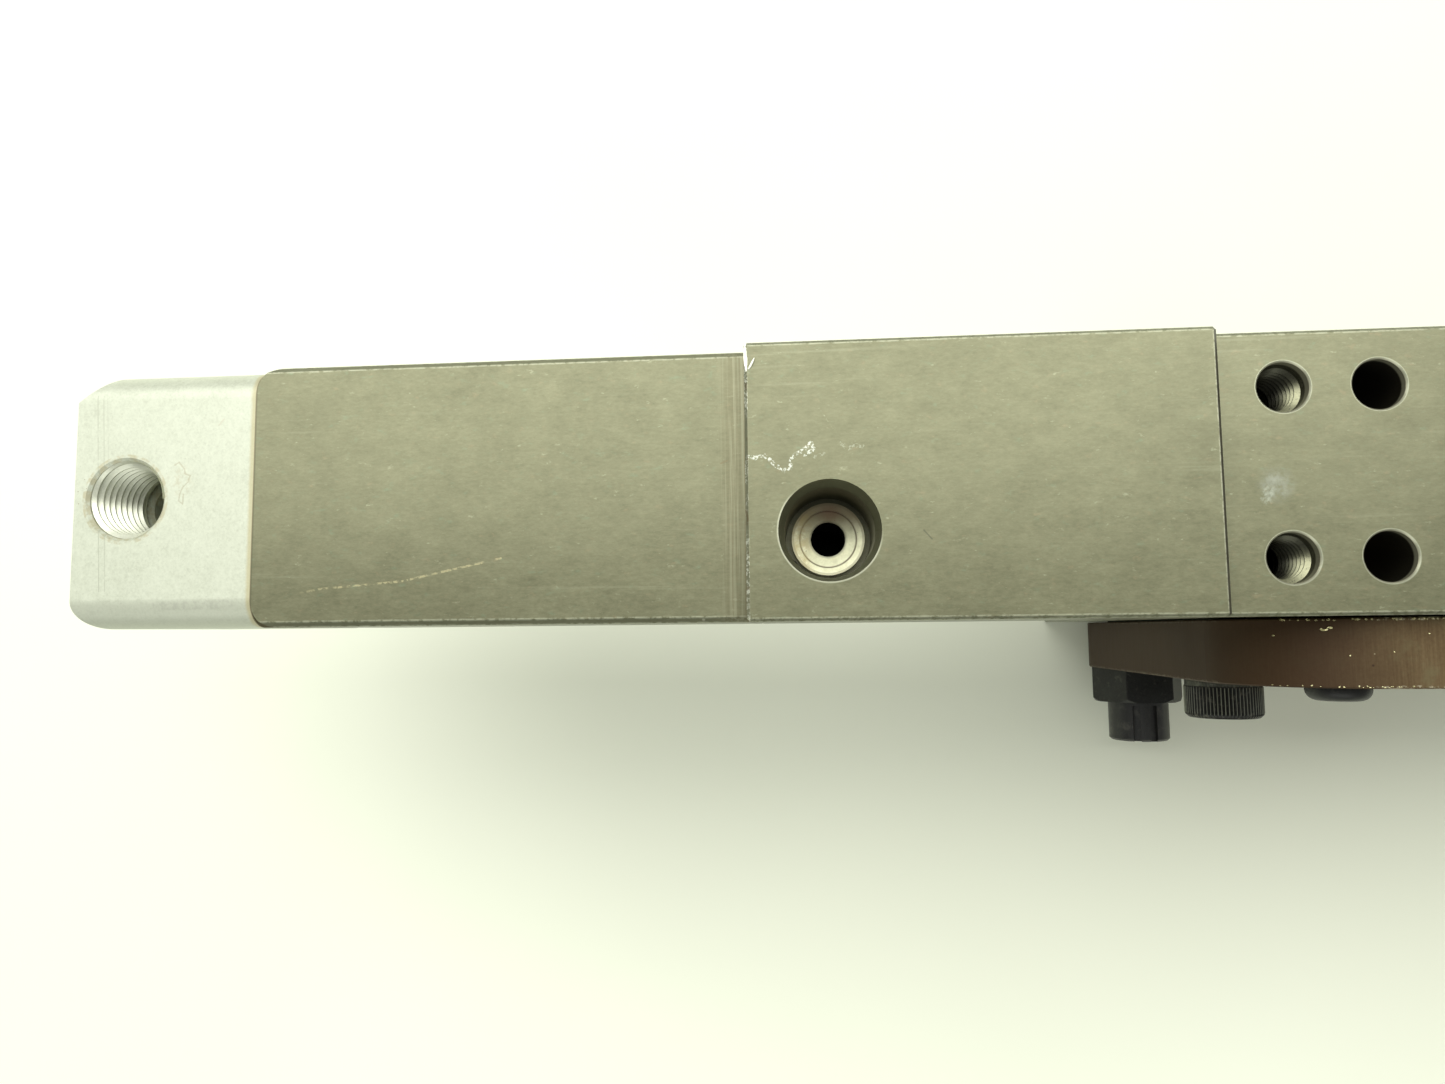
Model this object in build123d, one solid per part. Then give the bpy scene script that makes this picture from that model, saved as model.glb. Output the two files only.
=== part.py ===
from build123d import *
import os

# Pneumatic slide unit: a cylinder drives a tooling plate on a ball-guide carriage.
# Millimetres. The origin is the centre of the housing's underside, +X points away
# from the cylinder, +Z is up, and -Y is the side that the tooling plate is on.

# ---- driving dimensions ----
WIDTH = 45.0                     # Y width that the cap, barrel, head and housing share
HALF_WIDTH = WIDTH / 2

HOUSING_LENGTH = 170.0
HOUSING_HEIGHT = 117.8
HOUSING_LEFT = -HOUSING_LENGTH / 2
HOUSING_RIGHT = HOUSING_LENGTH / 2
END_WALL = 8.4
TOP_WALL = 15.8
BOTTOM_WALL = 10.0
BACK_WALL = 12.0

HEAD_LENGTH = 73.6
HEAD_TOP = 122.0
HEAD_HEIGHT = 52.0
HEAD_LEFT = HOUSING_LEFT - HEAD_LENGTH

BARREL_LENGTH = 85.1
BARREL_LEFT = HEAD_LEFT - BARREL_LENGTH
CAP_LENGTH = 32.8
CAP_LEFT = BARREL_LEFT - CAP_LENGTH
CAP_CORNER_CUT = (6.2, 5.2)      # along X and across Y
CAP_EDGE_RADIUS = 5.0
BARREL_CORNER_RADIUS = 4.5

AXIS_Z = 94.5                    # height of the piston rod's centre line
BORE_RADIUS = 16.0
ROD_RADIUS = 6.0
STROKE = 40.0
RUNNING_GAP = 0.05               # radial clearance of a seal or bush on what slides in it
EDGE_BREAK = 0.5                 # chamfer on machined outer edges
BARREL_EDGE_BREAK = 0.9

POCKET_X = (HOUSING_LEFT + END_WALL, HOUSING_RIGHT - END_WALL)
POCKET_Z = (BOTTOM_WALL, HOUSING_HEIGHT - TOP_WALL)
POCKET_BACK = HALF_WIDTH - BACK_WALL
POCKET_CORNER = 4.0

# ---- ports ----
CAP_PORT_FROM_END = 9.4
PORT_RADIUS = 6.85               # 1/4 NPT at the large end
PORT_DEPTH = 15.0
PORT_CHAMFER = 0.5
CAP_PASSAGE_RADIUS = 5.0
CUSHION_RADIUS = 11.0            # recess in the cap's spigot that the piston nut enters
CUSHION_DEPTH = 3.0
HEAD_PORT_X = HEAD_LEFT + 13.3
HEAD_PORT_Y = -8.2
HEAD_PORT_RADIUS = 7.35
HEAD_PORT_DEPTH = 18.5
HEAD_PORT_MOUTH_RADIUS = 8.15
HEAD_PORT_MOUTH_DEPTH = 4.2
PASSAGE_RADIUS = 3.0
PASSAGE_OVERRUN = 7.0            # the drilled passage ends this far below the rod's centre line
PORT_BUSH_RADIUS = 6.3
PORT_BUSH_FLANGE = 2.5
PORT_BUSH_SHANK = 2.5
PORT_BUSH_SHANK_RADIUS = 4.2
BUSH_RIM_WALL = 0.05             # width left between the rim's slope and the bush's side
BUSH_RIM_SLOPE = 0.25            # drop from the bush's rim to its step
BUSH_STEP_RADIUS = 5.0
BUSH_STEP = 0.3
BUSH_DISH_RADIUS = 4.8
BUSH_DISH_DEPTH = 0.4

# ---- mounting holes in the housing's top ----
TAPPED_X = 73.8
DOWEL_X = 59.4
HOLE_ROW_Y = 13.5
TAPPED_RADIUS = 4.0              # M8, at the thread's outer diameter
DOWEL_RADIUS = 4.0
HOLE_CHAMFER = 0.25
BACK_HOLE_DEPTH = 15.0           # blind, so that it ends above the pocket

# ---- linear guide ----
RAIL_X = (-73.5, 73.5)
RAIL_WIDTH = 23.0
RAIL_HEIGHT = 18.0
RAIL_Z = 47.7
RAIL_GAP = 0.6                   # between the rail's sides and the saddle
RAIL_SCREW_PITCH = 36.0
RAIL_SCREW_SEAT = 9.0            # depth of the screw heads below the rail's face
RAIL_SCREW_RADIUS = 2.5
RAIL_SCREW_HOLE_RADIUS = 3.5
RAIL_CAP_RADIUS = 5.5
RAIL_CAP_THICKNESS = 2.2
SADDLE_LENGTH = 80.0
SADDLE_CAP_LENGTH = 6.0
SADDLE_X = (-66.1, -66.1 + SADDLE_LENGTH)
SADDLE_Z = (13.0, 82.4)
SADDLE_UNDERSIDE_Y = 4.5
PLATE_INNER_Y = -22.8
BALL_RADIUS = 2.0
BALL_TRACKS_FROM_FACE = (4.5, 9.5)
BALL_Z_OFFSET = RAIL_WIDTH / 2 + BALL_RADIUS + 0.1
BALL_PITCH = 4.2
BALL_COUNT = 16
BALL_GAP = 0.02                  # a ball's radius is this much under its track's
SEAL_INSET = 4.0
SEAL_THICKNESS = 1.2
SEAL_GAP = 0.3

# ---- tooling plate ----
PLATE_LENGTH = 105.8
PLATE_LEFT = -78.0
PLATE_X = (PLATE_LEFT, PLATE_LEFT + PLATE_LENGTH)
PLATE_Z = (5.0, 114.0)
PLATE_THICKNESS = 11.2
PLATE_OUTER_Y = PLATE_INNER_Y - PLATE_THICKNESS
PLATE_UPPER_CORNER_RADIUS = 22.0
PLATE_LOWER_CORNER_RADIUS = 14.0
PLATE_EDGE_BREAK = 0.25
PLATE_SCREW_X = (-57.7, 5.5)
PLATE_SCREW_RADIUS = 5.0         # M10
PLATE_SCREW_LENGTH = 21.0
PLATE_DOWEL_X = (-41.4, -10.8)
PLATE_DOWEL_RADIUS = 3.0
PLATE_DOWEL_DEPTH = 8.0
TOOLING_X = (-40.0, 12.0)
TOOLING_Z = (28.0, 94.0)
TOOLING_RADIUS = 3.0             # M6
LUG_SCREW_X = -55.6
LUG_SCREW_Z = 92.0
LUG_SCREW_RADIUS = 3.0           # M6
LUG_SCREW_HEAD_RADIUS = 5.25
LUG_SCREW_HEAD_HEIGHT = 3.3
LUG_SCREW_LENGTH = 23.0
PLUG_X = -66.4
PLUG_Z = 17.0
PLUG_STUD_RADIUS = 6.0
PLUG_FLANGE_FLATS = 19.0
PLUG_FLANGE_RADIUS = 10.9
PLUG_FLANGE_HEIGHT = 8.6
PLUG_NECK_RADIUS = 7.1
PLUG_NECK_HEIGHT = 9.6
PLUG_BORE_RADIUS = 3.0
PLUG_RECESS_RADIUS = 3.2
PLUG_RECESS_DEPTH = 5.0
PLUG_GROOVE_WIDTH = 1.7
PLUG_GROOVE_STOP = 0.8           # the key grooves end this far above the flange
PLUG_GROOVES = ((-21, 1.9), (12, 0.9), (159, 1.9), (192, 0.9))    # degrees from +Z, and depth

# ---- drive ----
LUG_X = (-62.6, -48.6)
LUG_Z = (85.6, 101.4)
LUG_BACK_Y = 8.0
PISTON_X = (-234.6, -214.6)
PISTON_RADIUS = BORE_RADIUS - 0.1
SEAL_RADIUS = BORE_RADIUS - RUNNING_GAP
SEAL_GROOVE_DEPTH = 3.0
PISTON_RINGS = {                 # span from the piston's left face
    "piston_seal_rear": (2.0, 5.0),
    "piston_wear_band": (6.5, 10.5),
    "magnet_ring": (11.5, 14.0),
    "piston_seal_front": (15.0, 18.0),
}
MAGNET_RECESS = 0.3              # the magnet's surface lies this far inside the piston's
ROD_THREAD_RADIUS = 4.0
ROD_END_LENGTH = 6.0             # threaded stub beyond the piston
ROD_NUT_FLATS = 13.0
JAM_NUT_LENGTH = 5.0
GLAND_RADIUS = 10.0
SEAL_LENGTH = 8.0
BUSH_LENGTH = 29.0
CHAMBER_RADIUS = 7.5
GLAND_LEFT = HEAD_LEFT + 26.0
WALL_HOLE_RADIUS = 7.0

# ---- fasteners ----
CAP_BOLT_OFFSET = 14.0
CAP_BOLT_RADIUS = 2.0
CAP_BOLT_HEAD = (3.5, 4.0)
CAP_BOLT_ENGAGEMENT = 8.0
CLEARANCE = 0.1
HEAD_SCREWS_YZ = ((-14.5, 81.0), (5.0, 78.0), (-14.5, 97.0))
HEAD_SCREW_RADIUS = 2.5
HEAD_SCREW_LENGTH = 20.0
COUNTERSINK_RADIUS = 4.6
COUNTERSINK_DEPTH = 2.1

# ---- end stops ----
BUMPERS_YZ = ((-9.0, 70.0), (-9.0, 24.0))
BUMPER_RADIUS = 5.0
STOP_GAP = 0.3
STOP_YZ = (-9.0, 70.0)
STOP_SCREW_RADIUS = 5.0
STOP_SOCKET_FLATS = 5.0
STOP_SOCKET_DEPTH = 5.0
STOP_NUT_LENGTH = 6.0
STOP_NUT_FLATS = 17.0
STOP_SCREW_PROUD = 14.0
STOP_PAD_THICKNESS = 4.0

SPIGOT_LENGTH = 4.0
SPIGOT_RADIUS = BORE_RADIUS - 0.1
O_RING_SECTION = 1.6
O_RING_INSET = 1.2               # from the face that the spigot stands on


# ---- shapes placed by their spans ----
def block(x, y, z):
    size = [high - low for low, high in (x, y, z)]
    middle = [(low + high) / 2 for low, high in (x, y, z)]
    return Pos(*middle) * Box(*size)


def bar_x(x, y, z, radius):
    return Pos((x[0] + x[1]) / 2, y, z) * Rot(0, 90, 0) * Cylinder(radius, x[1] - x[0])


def bar_y(x, y, z, radius):
    return Pos(x, (y[0] + y[1]) / 2, z) * Rot(90, 0, 0) * Cylinder(radius, y[1] - y[0])


def bar_z(x, y, z, radius):
    return Pos(x, y, (z[0] + z[1]) / 2) * Cylinder(radius, z[1] - z[0])


def cone_z(x, y, z, low_radius, high_radius):
    return Pos(x, y, (z[0] + z[1]) / 2) * Cone(low_radius, high_radius, z[1] - z[0])


def ring_x(x, y, z, inner, outer):
    return bar_x(x, y, z, outer) - bar_x(x, y, z, inner)


def hexagon_x(x, y, z, across_flats):
    """A hexagonal bar along X, with flats above and below."""
    outline = Plane.YZ.offset(x[0]) * Pos(y, z) * RegularPolygon(across_flats / 2, 6, major_radius=False)
    return extrude(outline, x[1] - x[0])


def hexagon_y(x, y, z, across_flats):
    """A hexagonal bar along Y, with flats above and below."""
    outline = Plane.XZ.offset(-y[1]) * Pos(x, z) * RegularPolygon(across_flats / 2, 6, major_radius=False)
    return extrude(outline, y[1] - y[0])


def mirrored_pairs(x, y):
    return [(sx * x, sy * y) for sx in (-1, 1) for sy in (-1, 1)]


def joined(solids):
    """Separate solids of one node, as a compound."""
    return Compound(children=list(solids))


def socket_screw(head_radius, head_height, shank_radius, length, socket_flats):
    """A cap screw on the Z axis: its shank hangs below Z = 0 and its head stands above."""
    head = Pos(0, 0, head_height / 2) * Cylinder(head_radius, head_height)
    head = chamfer(head.edges().group_by(Axis.Z)[-1], head_height * 0.08)
    shank = Pos(0, 0, -length / 2) * Cylinder(shank_radius, length)
    shank = chamfer(shank.edges().group_by(Axis.Z)[0], shank_radius * 0.2)
    socket = RegularPolygon(socket_flats / 2, 6, major_radius=False)
    return head + shank - extrude(Pos(0, 0, head_height) * socket, -head_height * 0.55)


def broken_edges(solid):
    return chamfer(solid.edges(), EDGE_BREAK)


# ---- cylinder ----
def square_bar(x):
    """Bar of the cylinder's full width and height, centred on the rod."""
    return block(x, (-HALF_WIDTH, HALF_WIDTH), (AXIS_Z - HALF_WIDTH, AXIS_Z + HALF_WIDTH))


def end_cap():
    envelope = square_bar((CAP_LEFT, BARREL_LEFT))
    rounded_bar = fillet(envelope.edges().filter_by(Axis.X), CAP_EDGE_RADIUS)
    front_corner = envelope.edges().filter_by(Axis.Z).group_by(Axis.X)[0].sort_by(Axis.Y)[0]
    cap = (fillet(front_corner, CAP_EDGE_RADIUS) - cap_corner_cut()) & rounded_bar
    cap += bar_x((BARREL_LEFT, BARREL_LEFT + SPIGOT_LENGTH), 0, AXIS_Z, SPIGOT_RADIUS)
    cap -= o_ring_groove(BARREL_LEFT + O_RING_INSET)
    port_x = CAP_LEFT + CAP_PORT_FROM_END
    top = AXIS_Z + HALF_WIDTH
    cap -= bar_z(port_x, 0, (top - PORT_DEPTH, top), PORT_RADIUS)
    cap -= cone_z(port_x, 0, (top - PORT_CHAMFER, top), PORT_RADIUS, PORT_RADIUS + PORT_CHAMFER)
    cap -= bar_z(port_x, 0, (AXIS_Z, top - PORT_DEPTH + 1), CAP_PASSAGE_RADIUS)
    cap -= bar_x((port_x, BARREL_LEFT), 0, AXIS_Z, CAP_PASSAGE_RADIUS)
    cap -= bar_x((BARREL_LEFT - CUSHION_DEPTH, BARREL_LEFT + SPIGOT_LENGTH), 0, AXIS_Z, CUSHION_RADIUS)
    for y, z in mirrored_pairs(CAP_BOLT_OFFSET, CAP_BOLT_OFFSET):
        cap -= bar_x((CAP_LEFT, BARREL_LEFT), y, AXIS_Z + z, CAP_BOLT_RADIUS + CLEARANCE)
        cap -= bar_x((CAP_LEFT, CAP_LEFT + CAP_BOLT_HEAD[1] + 0.5), y, AXIS_Z + z, CAP_BOLT_HEAD[0] + 0.2)
    return cap


def cap_corner_cut():
    """Wedge that takes off the cap's outer corner on the side away from the plate."""
    along, across = CAP_CORNER_CUT
    points = [(CAP_LEFT, HALF_WIDTH), (CAP_LEFT + along, HALF_WIDTH), (CAP_LEFT, HALF_WIDTH - across)]
    outline = make_face(Polyline([(x, y, AXIS_Z - HALF_WIDTH) for x, y in points], close=True))
    return extrude(outline, amount=WIDTH, dir=(0, 0, 1))


def o_ring_groove(left):
    return ring_x((left, left + O_RING_SECTION), 0, AXIS_Z, BORE_RADIUS - O_RING_SECTION, BORE_RADIUS + 1)


def o_ring(left):
    return ring_x((left, left + O_RING_SECTION), 0, AXIS_Z, BORE_RADIUS - O_RING_SECTION, BORE_RADIUS)


def cap_bolts():
    bolts = []
    seat = CAP_LEFT + 0.5 + CAP_BOLT_HEAD[1]
    length = HEAD_LEFT + CAP_BOLT_ENGAGEMENT - seat
    for y, z in mirrored_pairs(CAP_BOLT_OFFSET, CAP_BOLT_OFFSET):
        bolt = socket_screw(CAP_BOLT_HEAD[0], CAP_BOLT_HEAD[1], CAP_BOLT_RADIUS, length, 3.0)
        bolts.append(Pos(seat, y, AXIS_Z + z) * Rot(0, -90, 0) * bolt)
    return joined(bolts)


def barrel():
    """Square tube, chamfered along its length and rounded at the corners beside the cap."""
    envelope = square_bar((BARREL_LEFT, HEAD_LEFT))
    rounded = fillet(envelope.edges().filter_by(Axis.Z).group_by(Axis.X)[0], BARREL_CORNER_RADIUS)
    tube = chamfer(envelope.edges().filter_by(Axis.X), BARREL_EDGE_BREAK) & rounded
    tube -= bar_x((BARREL_LEFT, HEAD_LEFT), 0, AXIS_Z, BORE_RADIUS)
    for y, z in mirrored_pairs(CAP_BOLT_OFFSET, CAP_BOLT_OFFSET):
        tube -= bar_x((BARREL_LEFT, HEAD_LEFT), y, AXIS_Z + z, CAP_BOLT_RADIUS + CLEARANCE)
    return tube


def head_block():
    head = block((HEAD_LEFT, HOUSING_LEFT), (-HALF_WIDTH, HALF_WIDTH), (HEAD_TOP - HEAD_HEIGHT, HEAD_TOP))
    head = broken_edges(head)
    head += bar_x((HEAD_LEFT - SPIGOT_LENGTH, HEAD_LEFT), 0, AXIS_Z, SPIGOT_RADIUS)
    head -= o_ring_groove(HEAD_LEFT - O_RING_INSET - O_RING_SECTION)
    head -= bar_x((HEAD_LEFT - SPIGOT_LENGTH, GLAND_LEFT), 0, AXIS_Z, CHAMBER_RADIUS)
    head -= bar_x((GLAND_LEFT, HOUSING_LEFT), 0, AXIS_Z, GLAND_RADIUS)
    floor = HEAD_TOP - HEAD_PORT_DEPTH
    head -= bar_z(HEAD_PORT_X, HEAD_PORT_Y, (floor, HEAD_TOP), HEAD_PORT_RADIUS)
    mouth = (HEAD_TOP - HEAD_PORT_MOUTH_DEPTH, HEAD_TOP)
    head -= cone_z(HEAD_PORT_X, HEAD_PORT_Y, mouth, HEAD_PORT_RADIUS, HEAD_PORT_MOUTH_RADIUS)
    head -= bar_z(HEAD_PORT_X, HEAD_PORT_Y, (floor - PORT_BUSH_SHANK, floor), PORT_BUSH_SHANK_RADIUS)
    head -= bar_z(HEAD_PORT_X, HEAD_PORT_Y, (AXIS_Z - PASSAGE_OVERRUN, floor), PASSAGE_RADIUS)
    for y, z in mirrored_pairs(CAP_BOLT_OFFSET, CAP_BOLT_OFFSET):
        head -= bar_x((HEAD_LEFT, HEAD_LEFT + CAP_BOLT_ENGAGEMENT + 0.5), y, AXIS_Z + z, CAP_BOLT_RADIUS)
    for y, z in HEAD_SCREWS_YZ:
        head -= bar_x((HOUSING_LEFT - HEAD_SCREW_LENGTH, HOUSING_LEFT), y, z, HEAD_SCREW_RADIUS)
    return head


def port_bush():
    """Flanged bush in the floor of the head's port: its top is a shallow dish with a step in it."""
    floor = HEAD_TOP - HEAD_PORT_DEPTH
    top = floor + PORT_BUSH_FLANGE
    bush = bar_z(HEAD_PORT_X, HEAD_PORT_Y, (floor, top), PORT_BUSH_RADIUS)
    bush += bar_z(HEAD_PORT_X, HEAD_PORT_Y, (floor - PORT_BUSH_SHANK, floor), PORT_BUSH_SHANK_RADIUS)
    bush -= bar_z(HEAD_PORT_X, HEAD_PORT_Y, (floor - PORT_BUSH_SHANK, top), PASSAGE_RADIUS)
    step = top - BUSH_RIM_SLOPE
    dish = step - BUSH_STEP
    rim_radius = PORT_BUSH_RADIUS - BUSH_RIM_WALL
    bush -= cone_z(HEAD_PORT_X, HEAD_PORT_Y, (step, top), BUSH_STEP_RADIUS, rim_radius)
    bush -= bar_z(HEAD_PORT_X, HEAD_PORT_Y, (dish, step), BUSH_STEP_RADIUS)
    bottom = dish - BUSH_DISH_DEPTH
    return bush - cone_z(HEAD_PORT_X, HEAD_PORT_Y, (bottom, dish), PASSAGE_RADIUS, BUSH_DISH_RADIUS)


def rod_seal():
    return ring_x((GLAND_LEFT, GLAND_LEFT + SEAL_LENGTH), 0, AXIS_Z, ROD_RADIUS + RUNNING_GAP, GLAND_RADIUS)


def rod_bush():
    left = GLAND_LEFT + SEAL_LENGTH
    return ring_x((left, left + BUSH_LENGTH), 0, AXIS_Z, ROD_RADIUS + RUNNING_GAP, GLAND_RADIUS)


def rod_wiper():
    left = GLAND_LEFT + SEAL_LENGTH + BUSH_LENGTH
    body = ring_x((left, HOUSING_LEFT), 0, AXIS_Z, ROD_RADIUS + RUNNING_GAP, GLAND_RADIUS)
    relief = ring_x((left + 2, HOUSING_LEFT), 0, AXIS_Z, ROD_RADIUS + 1.2, GLAND_RADIUS - 1.5)
    return body - relief


def head_screws():
    screws = []
    for y, z in HEAD_SCREWS_YZ:
        seat = POCKET_X[0]
        shank = bar_x((HOUSING_LEFT - HEAD_SCREW_LENGTH + 2, seat), y, z, HEAD_SCREW_RADIUS)
        cone = Pos(seat - COUNTERSINK_DEPTH / 2, y, z) * Rot(0, 90, 0)
        cone *= Cone(HEAD_SCREW_RADIUS, COUNTERSINK_RADIUS, COUNTERSINK_DEPTH)
        screws.append(shank + cone - hexagon_x((seat - 1.5, seat), y, z, 3.0))
    return joined(screws)


# ---- housing ----
def housing():
    body = block((HOUSING_LEFT, HOUSING_RIGHT), (-HALF_WIDTH, HALF_WIDTH), (0, HOUSING_HEIGHT))
    body = broken_edges(body)
    pocket = block(POCKET_X, (-HALF_WIDTH - 1, POCKET_BACK), POCKET_Z)
    body -= fillet(pocket.edges().filter_by(Axis.Y), POCKET_CORNER)
    body -= bar_x((HOUSING_LEFT, POCKET_X[0] + POCKET_CORNER), 0, AXIS_Z, WALL_HOLE_RADIUS)
    for y, z in HEAD_SCREWS_YZ:
        body -= bar_x((HOUSING_LEFT, POCKET_X[0]), y, z, HEAD_SCREW_RADIUS + CLEARANCE)
        cone = Pos(POCKET_X[0] - COUNTERSINK_DEPTH / 2, y, z) * Rot(0, 90, 0)
        sink_radii = (HEAD_SCREW_RADIUS + CLEARANCE, COUNTERSINK_RADIUS + CLEARANCE)
        body -= cone * Cone(*sink_radii, COUNTERSINK_DEPTH)
    for x_offset, radius in ((TAPPED_X, TAPPED_RADIUS), (DOWEL_X, DOWEL_RADIUS)):
        for x, y in mirrored_pairs(x_offset, HOLE_ROW_Y):
            body -= top_hole(x, y, radius)
            body -= top_hole_chamfer(x, y, radius)
    for x in rail_screw_stations():
        body -= bar_y(x, (POCKET_BACK, POCKET_BACK + 9), RAIL_Z, RAIL_SCREW_RADIUS)
    body -= bar_x((POCKET_X[1], HOUSING_RIGHT), *STOP_YZ, STOP_SCREW_RADIUS)
    return body


def top_hole(x, y, radius):
    depth = TOP_WALL if y < 0 else BACK_HOLE_DEPTH
    return bar_z(x, y, (HOUSING_HEIGHT - depth, HOUSING_HEIGHT), radius)


def top_hole_chamfer(x, y, radius):
    span = (HOUSING_HEIGHT - HOLE_CHAMFER, HOUSING_HEIGHT)
    return cone_z(x, y, span, radius, radius + HOLE_CHAMFER)


# ---- linear guide ----
def rail_screw_stations():
    return [station * RAIL_SCREW_PITCH for station in (-1.5, -0.5, 0.5, 1.5)]


def rail():
    """Profile rail: a waist on each side carries the two ball tracks."""
    back = POCKET_BACK
    front = back - RAIL_HEIGHT
    half = RAIL_WIDTH / 2
    waist = half - 3.0
    base = [(half, back), (half, back - 4.0), (waist, back - 7.0)]
    side = base + [(waist, front + 6.0), (half, front + 4.0), (half - 0.8, front)]
    outline = side + [(-z, y) for z, y in reversed(side)]
    profile = make_face(Polyline([(RAIL_X[0], y, RAIL_Z + z) for z, y in outline], close=True))
    body = extrude(profile, amount=RAIL_X[1] - RAIL_X[0], dir=(1, 0, 0))
    for x in rail_screw_stations():
        body -= bar_y(x, (front, back), RAIL_Z, RAIL_SCREW_HOLE_RADIUS)
        body -= bar_y(x, (front, front + RAIL_SCREW_SEAT), RAIL_Z, RAIL_CAP_RADIUS)
    return body


def rail_screws():
    screws = []
    front = POCKET_BACK - RAIL_HEIGHT
    for x in rail_screw_stations():
        screw = socket_screw(5.0, 6.0, 3.0, 9.0, 5.0)
        shank = bar_y(x, (POCKET_BACK - 1, POCKET_BACK + 8), RAIL_Z, RAIL_SCREW_RADIUS)
        screws.append(Pos(x, front + RAIL_SCREW_SEAT, RAIL_Z) * Rot(90, 0, 0) * screw + shank)
    return joined(screws)


def rail_hole_caps():
    front = POCKET_BACK - RAIL_HEIGHT
    span = (front, front + RAIL_CAP_THICKNESS)
    return joined(bar_y(x, span, RAIL_Z, RAIL_CAP_RADIUS) for x in rail_screw_stations())


def saddle_section(x, clearance):
    """Channel-shaped body that straddles the rail; clearance is its gap to the rail's sides."""
    body = block(x, (PLATE_INNER_Y, SADDLE_UNDERSIDE_Y), SADDLE_Z)
    body = chamfer(body.edges().filter_by(Axis.X), 1.5)
    channel_half = RAIL_WIDTH / 2 + clearance
    channel = (POCKET_BACK - RAIL_HEIGHT - clearance, SADDLE_UNDERSIDE_Y)
    return body - block(x, channel, (RAIL_Z - channel_half, RAIL_Z + channel_half))


def ball_tracks():
    """Y heights of the ball rows beside the rail's waist."""
    front = POCKET_BACK - RAIL_HEIGHT
    return [front + offset for offset in BALL_TRACKS_FROM_FACE]


def saddle():
    body = saddle_section(SADDLE_X, RAIL_GAP)
    for side in (-1, 1):
        for y in ball_tracks():
            body -= bar_x(SADDLE_X, y, RAIL_Z + side * BALL_Z_OFFSET, BALL_RADIUS)
    for x in PLATE_SCREW_X:
        body -= bar_y(x, (PLATE_INNER_Y, PLATE_INNER_Y + 12.0), RAIL_Z, PLATE_SCREW_RADIUS)
    for x in PLATE_DOWEL_X:
        body -= bar_y(x, (PLATE_INNER_Y, PLATE_INNER_Y + PLATE_DOWEL_DEPTH), RAIL_Z, PLATE_DOWEL_RADIUS)
    return body


def ball_rows():
    balls = []
    middle = (SADDLE_X[0] + SADDLE_X[1]) / 2
    for side in (-1, 1):
        for y in ball_tracks():
            for index in range(BALL_COUNT):
                x = middle + (index - (BALL_COUNT - 1) / 2) * BALL_PITCH
                ball = Sphere(BALL_RADIUS - BALL_GAP)
                balls.append(Pos(x, y, RAIL_Z + side * BALL_Z_OFFSET) * ball)
    return joined(balls)


def saddle_end_cap(x):
    body = saddle_section(x, 1.0)
    for z in (SADDLE_Z[0] + 6, SADDLE_Z[1] - 6):
        body -= bar_x(x, -15.0, z, 1.6)
    return body


def saddle_seal(x):
    """Rubber scraper on the face of a saddle end cap, nearly touching the rail."""
    half = RAIL_WIDTH / 2 + SEAL_GAP
    front = POCKET_BACK - RAIL_HEIGHT - SEAL_GAP
    plate = block(x, (PLATE_INNER_Y + SEAL_INSET, SADDLE_UNDERSIDE_Y), (RAIL_Z - 20, RAIL_Z + 20))
    return plate - block(x, (front, SADDLE_UNDERSIDE_Y), (RAIL_Z - half, RAIL_Z + half))


def seal_spans():
    left = SADDLE_X[0] - SADDLE_CAP_LENGTH
    right = SADDLE_X[1] + SADDLE_CAP_LENGTH
    return (left - SEAL_THICKNESS, left), (right, right + SEAL_THICKNESS)


# ---- tooling plate and drive ----
def plate_holes(holes, radius, span):
    return [bar_y(x, span, z, radius) for x, z in holes]


def tooling_holes():
    return [(x, z) for x in TOOLING_X for z in TOOLING_Z]


def carriage_plate():
    body = block(PLATE_X, (PLATE_OUTER_Y, PLATE_INNER_Y), PLATE_Z)
    corners = body.edges().filter_by(Axis.Y).group_by(Axis.Z)
    body = fillet(corners[-1], PLATE_UPPER_CORNER_RADIUS)
    body = fillet(body.edges().filter_by(Axis.Y).group_by(Axis.Z)[0], PLATE_LOWER_CORNER_RADIUS)
    body = chamfer(body.edges(), PLATE_EDGE_BREAK)
    through = (PLATE_OUTER_Y, PLATE_INNER_Y)
    cuts = plate_holes([(x, RAIL_Z) for x in PLATE_SCREW_X], PLATE_SCREW_RADIUS + CLEARANCE, through)
    cuts += plate_holes([(x, RAIL_Z) for x in PLATE_DOWEL_X], PLATE_DOWEL_RADIUS, through)
    cuts += plate_holes(tooling_holes(), TOOLING_RADIUS, through)
    cuts += plate_holes([(LUG_SCREW_X, LUG_SCREW_Z)], LUG_SCREW_RADIUS + CLEARANCE, through)
    cuts += plate_holes([(PLUG_X, PLUG_Z)], PLUG_STUD_RADIUS, through)
    return body - cuts


def plate_screws():
    screw = socket_screw(8.0, 10.0, PLATE_SCREW_RADIUS, PLATE_SCREW_LENGTH, 8.0)
    return joined(Pos(x, PLATE_OUTER_Y, RAIL_Z) * Rot(90, 0, 0) * screw for x in PLATE_SCREW_X)


def plate_dowels():
    span = (PLATE_OUTER_Y + 0.5, PLATE_INNER_Y + PLATE_DOWEL_DEPTH)
    dowels = [bar_y(x, span, RAIL_Z, PLATE_DOWEL_RADIUS) for x in PLATE_DOWEL_X]
    return joined(chamfer(dowel.edges(), 0.4) for dowel in dowels)


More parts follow.
